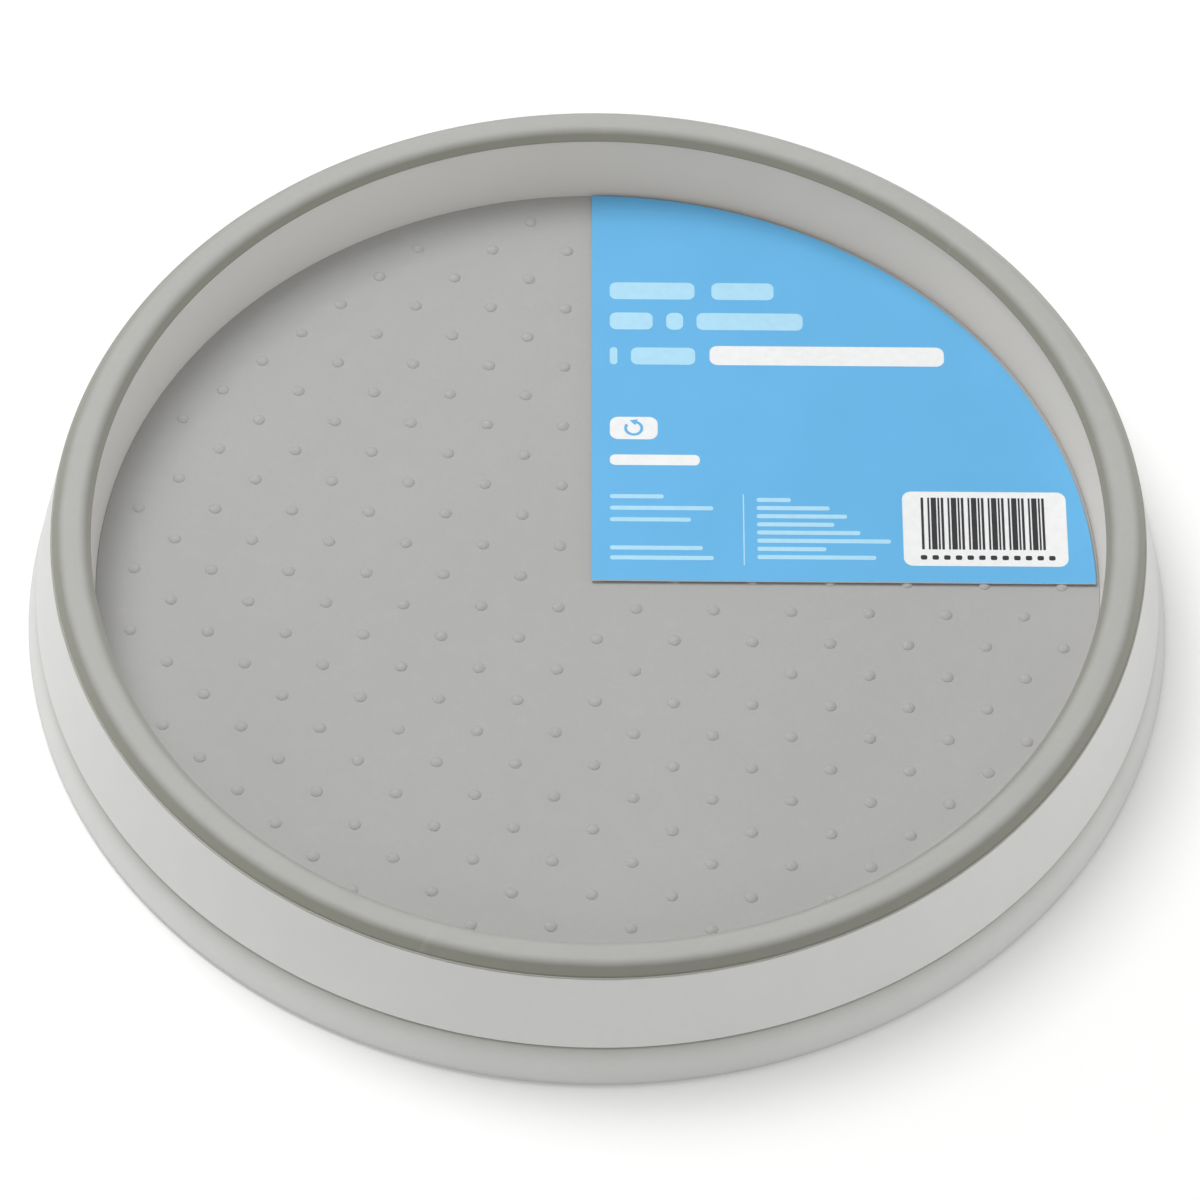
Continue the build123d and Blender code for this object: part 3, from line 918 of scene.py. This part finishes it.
@dataclass
class BasePan(Assembly):
    """The base: a ribbed web with a hub, a race and a hollow conical ring, on six soft feet."""

    lip_wall: float = 1.6
    lip_clearance: float = 0.6
    shelf: float = 1.8
    inset: float = 0.8
    edge_round: float = 0.5
    hub_recess_radius: float = 15.0
    hub_wall: float = 2.0
    hub_rise: float = 2.2
    hub_plate: float = 1.6
    collar_bore: float = 7.07
    collar_wall: float = 2.0
    foot_circle: float = 112.0
    mark_circles: tuple[float, float] = (46.0, 104.0)

    @property
    def lip_outer(self) -> float:
        """Outer radius of the lip inside the skirt."""
        return self.at.flank_inside(self.at.lip_top) - self.lip_clearance

    def section(self) -> np.ndarray:
        """The pan's section from the hub's bore outward underneath and back over the top, corners rounded.

        Returns:
            The closed section as an array of shape (n, 2).
        """
        at = self.at
        bore, hub_in = self.collar_bore, self.hub_recess_radius
        hub_out, collar = hub_in + self.hub_wall, self.collar_bore + self.collar_wall
        hub_under, web_top = at.web_bottom + self.hub_rise, at.web_bottom + at.web
        hub_top, cap_bottom = hub_under + self.hub_plate, at.edge + 0.5
        collar_top = ends("hub_bushing")[1] - BUSHING_FLANGE
        rib, rib_half, rib_bottom, trim = at.race_radius, 0.8, at.web_bottom - 2.0, 0.03
        under_shelf, lip_in = at.ring_top - self.shelf, self.lip_outer - self.lip_wall
        return rounded([
            (bore, hub_under, 0.3), (hub_in, hub_under, 0.4), (hub_in, cap_bottom, 0.25),
            (hub_out, cap_bottom, 0.4), (hub_out, at.web_bottom, 0.5),
            (rib - rib_half, at.web_bottom, 0.4), (rib - rib_half, rib_bottom, 0.35),
            (rib + rib_half, rib_bottom, 0.35), (rib + rib_half, at.web_bottom, 0.4),
            (self.lip_outer, at.web_bottom, 0.5), (self.lip_outer, under_shelf, 0.5),
            (at.flank_inside(under_shelf), under_shelf, 0.5), (at.flank_inside(at.edge), at.edge, 0.3),
            (at.flank(at.edge) - trim, at.edge, self.edge_round),
            (at.flank(at.ring_top) - self.inset, at.ring_top, self.edge_round),
            (self.lip_outer, at.ring_top, 0.3), (self.lip_outer, at.lip_top, 0.3),
            (lip_in, at.lip_top, 0.3), (lip_in, web_top, 0.6), *at.race(web_top, 1),
            (hub_out, web_top, 0.5), (hub_out, hub_top, 0.4), (collar, hub_top, 0.5), (collar, collar_top, 0.3),
            (bore, collar_top, 0.2),
        ], 4)

    def boss(self) -> Surface:
        """One foot's cup: a lathe about its own middle with a flat pocket.

        Returns:
            The cup at the origin.
        """
        low, pocket, top = self.at.edge + 0.3, self.at.edge + 1.9, self.at.web_bottom + self.at.web / 2
        inner, outer = 7.05, 8.95
        ring = rounded([(0, pocket, 0), (inner, pocket, 0.1), (inner, low, 0.25), (outer, low, 0.35), (outer, top, 0),
                        (0, top, 0)])
        return lathe(ring, 72)

    def ejector_mark(self) -> Surface:
        """A shallow round mark that an ejector pin leaves."""
        ring = [(0, -0.06), (3.1, -0.06), (3.25, -0.16), (3.55, -0.16), (3.7, 0.3), (0, 0.3)]
        return lathe(np.array(ring) + (0, self.at.web_bottom), 32)

    def build(self) -> None:
        """Makes the pan, its feet and the cap under its hub."""
        at = self.at
        ribs = radial_bar(self.hub_recess_radius + 1, self.lip_outer - 0.8, 1.6, at.web_bottom - 1.98,
                          at.web_bottom + 0.6, 0.35).around(15 + 30 * np.arange(12))
        sixths, mark = 60 * np.arange(6), self.ejector_mark()
        bosses = self.boss().moved_to([[self.foot_circle, 0, 0]]).around(30 + sixths)
        pan = lathe(self.section()) + ribs + bosses
        for reach in self.mark_circles:
            pan += mark.moved_to([[reach, 0, 0]]).around(sixths)
        # Darker at the ring's lower edge, and painted shade on the ring's top 8 mm, where the skirt overhangs it.
        plastic = MouldedPlastic("base_white", (0.77, 0.77, 0.755), 0.40, grain=0.14,
                                 low_edge_band=((at.edge + 0.2) * MM, (at.edge + 1.4) * MM), low_edge_dark=0.35,
                                 painted_shade_band=((at.ring_top - 8.0) * MM, at.ring_top * MM), painted_shade=0.70)
        put("base_pan_moulding", pan, Body.ROOT.value, plastic.material(self.fx), ["base_pan"])
        self.build_feet()
        self.build_cap()

    def build_feet(self) -> None:
        """Six soft feet, each a disc with two grooves in its sole."""
        rubber = SoftElastomer("foot_rubber", (0.27, 0.27, 0.26), 0.74, pits=0.5, rub=0.2).material(self.fx)
        groove = [(0, 0, 0.12), (0.2, 0.35, 0.1), (0.7, 0.35, 0.1), (0.9, 0, 0.12)]
        for number in range(1, 7):
            low, high = box_mm(f"foot_{number}")
            z, top, radius = low[2], high[2], (high[0] - low[0]) / 2
            grooves = [(start + across, z + up, edge) for start in (1.8, 4.4) for across, up, edge in groove]
            ring = rounded([(0, z, 0), *grooves, (radius, z, 0.5), (radius, top, 0.2), (0, top, 0)], 4)
            foot = lathe(ring, 72).moved_to([[*(low[:2] + high[:2]) / 2, 0]])
            put(f"soft_foot_{number}", foot, Body.ROOT.value, rubber, [f"foot_{number}"])

    def build_cap(self) -> None:
        """The hub cap: a shallow dish with a raised ring and a skirt that snaps into the hub."""
        z, top, radius = ends("hub_cap")
        dish, inside, plate_top = z + 0.25, radius - 1.2, z + 0.8
        ring = rounded([
            (0, dish, 0), (5.0, dish, 0.6), (5.4, z, 0.2), (6.4, z, 0.2), (6.8, dish, 0.2),
            (radius - 2.6, dish, 0.4), (radius - 2.2, z, 0.2), (radius, z, 0.35), (radius, top, 0.3),
            (inside, top, 0.3), (inside, plate_top, 0.3), (0, plate_top, 0),
        ])
        plastic = MouldedPlastic("cap_white", (0.74, 0.74, 0.72), 0.36, grain=0.10)
        put("hub_cap_moulding", lathe(ring, 160), Body.ROOT.value, plastic.material(self.fx), ["hub_cap"])


@dataclass
class Bearing(Assembly):
    """Bushing, washer, screw, cage and balls."""

    ball_count: int = 18

    def build(self) -> None:
        """Makes the bearing's pieces."""
        acetal = Acetal("bushing_acetal", (0.80, 0.80, 0.75), 0.34).material(self.fx)
        z, top, flange = ends("hub_bushing")
        bore, outer, flange_bottom = 5.05, 7.05, top - BUSHING_FLANGE
        ring = rounded([(bore, z, 0.3), (outer, z, 0.3), (outer, flange_bottom, 0.1), (flange, flange_bottom, 0.15),
                        (flange, top, 0.2), (bore, top, 0.25)])
        put("flanged_bushing", lathe(ring, 128), Body.ROOT.value, acetal, ["hub_bushing"])

        steel = Metal("washer_steel", (0.60, 0.60, 0.59), 0.30, marks=0.25).material(self.fx)
        z, top, outer = ends("pivot_washer")
        bore = 1.8
        ring = rounded([(bore, z, 0.1), (outer, z, 0.25), (outer, top, 0.12), (bore, top, 0.1)], 4)
        put("flat_washer", lathe(ring, 96), Body.TRAY.value, steel, ["pivot_washer"])

        zinc = Metal("screw_zinc", (0.66, 0.66, 0.62), 0.26, marks=0.12, tarnish=(0.60, 0.55, 0.42), tarnish_share=0.5)
        dress("pivot_screw", zinc.material(self.fx))
        dress("ball_cage", Acetal("cage_acetal", (0.70, 0.71, 0.67), 0.40).material(self.fx))

        polished = Metal("ball_steel", (0.72, 0.72, 0.71), 0.09, marks=0.02, tarnish_share=0.08).material(self.fx)
        rise = np.linspace(-np.pi / 2, np.pi / 2, 17)
        for number in range(1, self.ball_count + 1):
            node = f"bearing_ball_{number:02d}"
            low, high = box_mm(node)
            arc = (high[2] - low[2]) / 2 * np.stack([np.cos(rise), np.sin(rise)], axis=-1)
            arc[[0, -1], 0] = 0
            ball = lathe(arc, 32).moved_to([(low + high) / 2])
            put(f"steel_ball_{number:02d}", ball, f"{node}_body", polished, [node], crease=80)


@dataclass
class Tray(Assembly):
    """The spinning moulding: floor, well, land, skirt, ribs, race and spindle."""

    floor: float = 1.8
    land_thickness: float = 2.0
    well_wall: float = 2.0
    tongue_width: float = 3.6
    tongue_height: float = 1.1
    spindle: float = 5.0
    pilot: float = 1.6
    pilot_depth: float = 4.9

    def section(self) -> np.ndarray:
        """The tray's section: out from the axis underneath, round the skirt, and back over land, well and floor.

        Returns:
            The section from axis to axis as an array of shape (n, 2).
        """
        at = self.at
        under, land_under = at.floor_top - self.floor, at.land - self.land_thickness
        tongue_in, tongue_out = at.land_middle - self.tongue_width / 2, at.land_middle + self.tongue_width / 2
        tongue_top, pilot_top = at.land + self.tongue_height, at.spindle_bottom + self.pilot_depth
        return rounded([
            (0, pilot_top, 0), (self.pilot, pilot_top, 0.1), (self.pilot, at.spindle_bottom, 0.15),
            (self.spindle, at.spindle_bottom, 0.4), (self.spindle, under, 0.25), *at.race(under, -1),
            (at.well(under) + self.well_wall, under, 1.0),
            (at.well(land_under) + self.well_wall, land_under, 0.8),
            (at.flank_inside(land_under), land_under, 0.8),
            (at.flank_inside(at.skirt_bottom), at.skirt_bottom, 0.4),
            (at.flank(at.skirt_bottom), at.skirt_bottom, 0.5),
            (at.land_outer, at.land, 0.15),
            (tongue_out, at.land, 0.2), (tongue_out, tongue_top, 0.25), (tongue_in, tongue_top, 0.25),
            (tongue_in, at.land, 0.2),
            (at.land_outer - at.rim_width, at.land, 0.3),
            (at.well(at.floor_top), at.floor_top, 0.25), (0, at.floor_top, 0),
        ])

    def build(self) -> None:
        """Makes the tray."""
        at = self.at
        under, land_under = at.floor_top - self.floor, at.land - self.land_thickness
        turns = 30 * np.arange(12)
        ribs = radial_bar(at.race_radius + 7.5, at.well(under) + 1, 1.4, under - 2.4, under + 0.6, 0.3).around(turns)
        gussets = radial_bar(at.well(land_under) + 1, at.flank(land_under) - 1.1, 1.4, land_under - 4.0,
                             land_under + 0.6, 0.3).around(turns)
        # Painted shade on the skirt's lower edge at the parting gap and on the skirt's top just under the grip, and
        # painted light on faces toward the spin axis.
        plastic = MouldedPlastic("tray_white", (0.785, 0.785, 0.77), 0.38, grain=0.12,
                                 low_edge_band=(at.skirt_bottom * MM, (at.skirt_bottom + 0.35) * MM), low_edge_dark=0.5,
                                 edge_and_shade_colour=(0.38, 0.375, 0.33),
                                 painted_shade_band=((at.land - 0.7) * MM, (at.land - 0.2) * MM), painted_shade=1.0,
                                 inside=(0.855, 0.83, 0.795))
        put("tray_moulding", lathe(self.section()) + ribs + gussets, Body.TRAY.value,
            plastic.material(self.fx), ["tray_shell"])


@dataclass
class RimGrip(Assembly):
    """The soft bead on the rim: a broad foot, sloping sides, rounded shoulders, and a groove for the tray's tongue."""

    setback: float = 0.05
    overhang: float = 1.3
    outer_slope: float = 2.6
    inner_slope: float = 2.25
    outer_shoulder: float = 2.6
    inner_shoulder: float = 3.0
    tuck: float = 0.25
    groove_half: float = 1.85
    groove_height: float = 1.15

    def section(self) -> np.ndarray:
        """The bead's section, closed on itself.

        Returns:
            The closed section as an array of shape (n, 2).
        """
        at = self.at
        outer, inner = at.land_outer - self.setback, at.land_outer - at.rim_width - self.overhang
        groove_in, groove_out = at.land_middle - self.groove_half, at.land_middle + self.groove_half
        groove_top = at.land + self.groove_height
        return rounded([
            (inner, at.land, self.tuck), (groove_in, at.land, 0.15), (groove_in, groove_top, 0.2),
            (groove_out, groove_top, 0.2), (groove_out, at.land, 0.15), (outer, at.land, self.tuck),
            (outer - self.outer_slope, at.rim_top, self.outer_shoulder),
            (inner + self.inner_slope, at.rim_top, self.inner_shoulder),
        ], 8)

    def build(self) -> None:
        """Makes the grip."""
        at = self.at
        # Painted shade on the bead's sloping sides, darkest low down.
        soft = SoftElastomer("grip_soft_grey", (0.447, 0.447, 0.428), 0.60, side_shade_colour=(0.258, 0.258, 0.218),
                             outer_shade_band=((at.rim_top - 1.03) * MM, (at.rim_top - 0.03) * MM),
                             inner_shade_band=((at.rim_top - 1.33) * MM, (at.rim_top - 0.08) * MM),
                             pits=0.25, rub=0.12, sheen=0.55)
        put("rim_grip_bead", lathe(self.section()), Body.TRAY.value, soft.material(self.fx), ["rim_grip"])


@dataclass
class FloorMat(Assembly):
    """The mat in the well: a soft disc with low domes in two square grids, one set in the middle of the other."""

    pitch: float = 17.84
    margin: float = 4.5
    dot_radius: float = 1.5
    dot_height: float = 0.6

    def centres(self) -> np.ndarray:
        """The domes' centres on the mat: points (i, j) of half a pitch where i and j are both even or both odd.

        Returns:
            The centres as an array of shape (n, 3).
        """
        half = self.pitch / 2
        field = self.at.mat_radius - self.margin
        steps = math.ceil(field / half)
        i, j = np.meshgrid(np.arange(-steps, steps + 1), np.arange(-steps, steps + 1), indexing="ij")
        keep = (i % 2 == j % 2) & (np.hypot(i, j) * half <= field)
        return np.stack([i[keep] * half, j[keep] * half, np.zeros(keep.sum())], axis=-1)

    def build(self) -> None:
        """Makes the mat."""
        at = self.at
        top = at.dot_top - self.dot_height
        play = 0.05
        disc = rounded([(0, at.floor_top, 0), (at.well(at.floor_top) - play, at.floor_top, 0.1),
                        (at.well(top) - play, top, 0.1), (0, top, 0)])
        ball = (self.dot_radius ** 2 + self.dot_height ** 2) / (2 * self.dot_height)
        reach = self.dot_radius * np.array([1.0, 0.86, 0.62, 0.32, 0.0])
        rise = np.sqrt(ball ** 2 - reach ** 2) - (ball - self.dot_height)
        dome = np.stack([reach, top + rise], axis=-1)
        dome[0, 1], sunk = top - 0.03, top - 0.25
        dome = np.vstack([[0, sunk], [self.dot_radius, sunk], dome])
        mat = lathe(disc) + lathe(dome, 12).moved_to(self.centres())
        soft = SoftElastomer("mat_soft_grey", (0.44, 0.44, 0.435), 0.66, pits=0.35, rub=0.10)
        put("dotted_floor_mat", mat, Body.TRAY.value, soft.material(self.fx), ["floor_mat"], crease=50)


@dataclass
class LabelCard(Assembly):
    """The quarter-disc card on the mat, with plain bars, a turning arrow and an even stripe panel as its print."""

    turn: float = 0.9
    left: float = 4.3
    print_height: float = 0.03
    corner: float = -1.5
    wall_gap: float = 0.8
    dots_height: float = 0.6

    def to_tray(self, outline: np.ndarray) -> np.ndarray:
        """Card millimetres, right and away from its square corner, to tray millimetres: a turn, then a shift."""
        a = math.radians(self.turn)
        return outline @ np.array([[math.cos(a), math.sin(a)], [-math.sin(a), math.cos(a)]]) + self.corner

    def radius(self) -> float:
        """The card's radius, from its corner to the gap at the well's wall."""
        return self.at.well(self.at.dot_top - self.dots_height) - self.wall_gap - self.corner

    def outline(self) -> np.ndarray:
        """The square corner and the arc of a quarter disc.

        Returns:
            The closed outline as an array of shape (n, 2).
        """
        angle = np.radians(np.linspace(0, 90, 121))
        arc = self.radius() * np.stack([np.cos(angle), np.sin(angle)], axis=-1)
        return np.vstack([[0.0, 0.0], arc])

    def heading(self) -> list[tuple[float, float, float, float]]:
        """Pale bars of the heading's three lines.

        Returns:
            Each bar's left, bottom, right and top.
        """
        x, height = self.left, 5.2
        lines = {84.2: [(0, 20.2), (24.2, 39.0)], 74.9: [(0, 10.2), (13.4, 17.4), (20.6, 45.8)],
                 64.2: [(0, 1.8), (5.0, 20.2)]}
        return [(x + start, y, x + stop, y + height) for y, words in lines.items() for start, stop in words]

    def small_print(self) -> list[tuple[float, float, float, float]]:
        """Thin bars of the two columns of small print.

        Returns:
            Each bar's left, bottom, right and top.
        """
        height = 1.2
        columns = {
            self.left: [(24.0, 12.5), (20.6, 24.0), (17.2, 18.8), (8.9, 21.5), (6.0, 24.0)],
            38.4: [(23.2, 8.0), (20.8, 17.0), (18.4, 21.0), (16.0, 18.0), (13.6, 24.0), (11.2, 31.0), (8.8, 16.0),
                   (6.4, 27.5)],
        }
        return [(x, y, x + width, y + height) for x, rows in columns.items() for y, width in rows]

    def arrow(self, u: float, v: float) -> list[np.ndarray]:
        """A turning arrow round (u, v): an open ring of 285 degrees and a triangle at its end.

        Args:
            u: The ring's middle, to the right of the card's corner.
            v: The ring's middle, away from the card's corner.

        Returns:
            The ring's outline and the triangle's.
        """
        angle = np.radians(np.linspace(70, -215, 40))
        ring = np.stack([np.cos(angle), np.sin(angle)], axis=-1)
        band = np.vstack([1.55 * ring, 2.25 * ring[::-1]])[::-1] + (u, v)
        out = ring[0]
        along = np.array([-out[1], out[0]])
        head = np.array([0.95 * out, 2.85 * out, 1.9 * out + 1.7 * along]) + (u, v)
        return [band, head]

    def ink(self, name: str, outlines: list[np.ndarray], colour: Colour, lift: float) -> None:
        """Lays outlines on the card as one thin print.

        Args:
            name: The piece's name.
            outlines: Closed outlines in card millimetres.
            colour: The ink's colour.
            lift: How far the print's underside is above the card.
        """
        base = ends("label_card")[1] + lift
        first, *rest = [plate(self.to_tray(outline), base, base + self.print_height) for outline in outlines]
        put(name, sum(rest, first), Body.TRAY.value, Ink(name, colour, 0.42).material(self.fx))

    def build(self) -> None:
        """Makes the card and its prints."""
        low, high, _ = ends("label_card")
        blue = (0.132, 0.475, 0.825)
        card = plate(self.to_tray(self.outline()), low, high)
        put("quarter_card", card, Body.TRAY.value, PrintedCard("card_blue", blue, 0.44).material(self.fx),
            ["label_card"], crease=30)
        x = self.left
        pale = bars(self.heading(), 1.6, 5) + bars(self.small_print(), 0.5)
        pale += bars([(35.2, 4.6, 35.5, 25.4)], 0.1)
        self.ink("card_print_pale", pale, (0.45, 0.77, 0.96), 0.0)
        white = bars([(x + 23.6, 64.2, x + 79.0, 70.0)], 1.9, 6) + bars([(x, 41.6, x + 11.2, 48.3)], 2.0, 6)
        white += bars([(x, 33.9, x + 21.0, 37.0)], 1.2, 4) + bars([(72.3, 4.8, 110.4, 26.6)], 2.2, 6)
        self.ink("card_print_white", white, (0.92, 0.93, 0.93), 0.0)
        stripes = [(76.6 + 2.34 * k, 9.6, 76.6 + 2.34 * k + (1.25 if k % 2 else 0.6), 24.8) for k in range(13)]
        stripes += [(78.6 + 2.34 * k - 0.45, 9.6, 78.6 + 2.34 * k, 24.8) for k in range(12)]
        dashes = [(76.2 + 2.7 * k, 6.6, 76.2 + 2.7 * k + 1.5, 7.9) for k in range(12)]
        self.ink("card_print_dark", bars(stripes, 0.05, 2) + bars(dashes, 0.4), (0.03, 0.03, 0.035), 0.031)
        self.ink("card_print_blue", self.arrow(x + 5.6, 44.9), blue, 0.031)


# ---------------------------------------------------------------- stage


@dataclass
class Studio(Assembly):
    """Floor, soft lights, a pale world and the camera."""

    lens: float = 210.0
    distance: float = 1.6158
    shift_right: float = -0.000475
    shift_up: float = 0.00522
    aim_below_dots: float = 0.6
    elevation: float = 52.69
    roll: float = -1.13
    sky: float = 0.392

    def floor(self) -> None:
        """A wide pale disc at the height of the feet."""
        radius, corners = 6.0, 96
        angle = np.arange(corners) * (2 * np.pi / corners)
        ring = radius * np.stack([np.cos(angle), np.sin(angle), 0 * angle], axis=-1)
        mesh = bpy.data.meshes.new("floor")
        mesh.from_pydata(ring.tolist(), [], [list(range(corners))])
        mesh.materials.append(StudioFloor("floor_pale", (0.88, 0.88, 0.875), 0.8).material(self.fx))
        disc = bpy.data.objects.new("floor", mesh)
        bpy.context.scene.collection.objects.link(disc)

    def softbox(self, name: str, toward: Colour, distance: float, size: float, power: float) -> None:
        """A square light that faces the tray and that the camera doesn't see.

        Args:
            name: The light's name.
            toward: Direction from the tray to the light.
            distance: How far off it stands, in metres.
            size: Its side in metres.
            power: Its power in watts.
        """
        data = bpy.data.lights.new(name, "AREA")
        data.shape, data.size, data.energy = "SQUARE", size, power
        light = bpy.data.objects.new(name, data)
        bpy.context.scene.collection.objects.link(light)
        direction = Vector(toward).normalized()
        light.location = direction * distance
        light.rotation_euler = direction.to_track_quat("Z", "Y").to_euler()
        light.visible_camera = False

    def world(self) -> None:
        """Even light from all round, and a near-white backdrop where the camera looks past the floor."""
        world = bpy.data.worlds.new("studio")
        bpy.context.scene.world = world
        world.use_nodes = True
        world.node_tree.nodes.clear()
        b = Bench(world.node_tree)
        seen = b.add("LightPath").outputs["Is Camera Ray"]
        light, shown = (b.add("Background", Color=(1.0, 1.0, 1.0, 1.0), Strength=strength).outputs[0]
                        for strength in (self.sky, 1.0))
        b.add("OutputWorld", Surface=b.add("MixShader", A_0=seen, A_1=light, A_2=shown).outputs[0])

    def camera(self) -> None:
        """A long lens, tipped down at the tray and rolled by a little."""
        data = bpy.data.cameras.new("camera")
        data.lens, data.sensor_width, data.clip_start, data.clip_end = self.lens, 36.0, 0.05, 50.0
        eye = bpy.data.objects.new("camera", data)
        bpy.context.scene.collection.objects.link(eye)
        e, r = math.radians(self.elevation), math.radians(self.roll)
        level, away = Vector((1, 0, 0)), Vector((0, math.sin(e), math.cos(e)))
        forward = Vector((0, math.cos(e), -math.sin(e)))
        right = math.cos(r) * level - math.sin(r) * away
        up = math.sin(r) * level + math.cos(r) * away
        middle = Vector((0, 0, (self.at.dot_top - self.aim_below_dots) * MM))
        eye.matrix_world = Matrix((right, up, -forward)).transposed().to_4x4()
        eye.location = middle - (self.shift_right * right + self.shift_up * up + self.distance * forward)
        bpy.context.scene.camera = eye

    def build(self) -> None:
        """Sets the stage."""
        self.floor()
        self.world()
        for name, toward, distance, size, power in (
            ("key", (-0.30, 0.30, 0.90), 1.5, 0.7, 9.59),
            ("above", (-0.12, 0.21, 0.97), 1.5, 0.7, 2.27),
            ("back_left", (-0.45, 0.45, 0.76), 1.5, 0.6, 1.62),
            ("left", (-0.98, 0.0, 0.20), 1.3, 0.5, 0.76),
            ("right", (0.98, 0.0, 0.20), 1.3, 0.5, 2.85),
            ("front", (0.10, -0.77, 0.64), 2.6, 0.6, 3.24),
            ("front_left", (-0.60, -0.60, 0.50), 2.0, 0.6, 1.95),
        ):
            self.softbox(f"softbox_{name}", toward, distance, size, power)
        self.camera()
        bpy.context.scene.view_settings.view_transform = "Standard"


def main() -> None:
    logging.basicConfig(level=logging.INFO, format="%(name)s %(message)s")
    at, fx = Layout.read(), Effects()
    for part in (BasePan(at, fx), Bearing(at, fx), Tray(at, fx), RimGrip(at, fx), FloorMat(at, fx), LabelCard(at, fx)):
        log.info("building %s", type(part).__name__)
        part.build()
    Studio(at, fx).build()


if __name__ == "__main__":
    main()
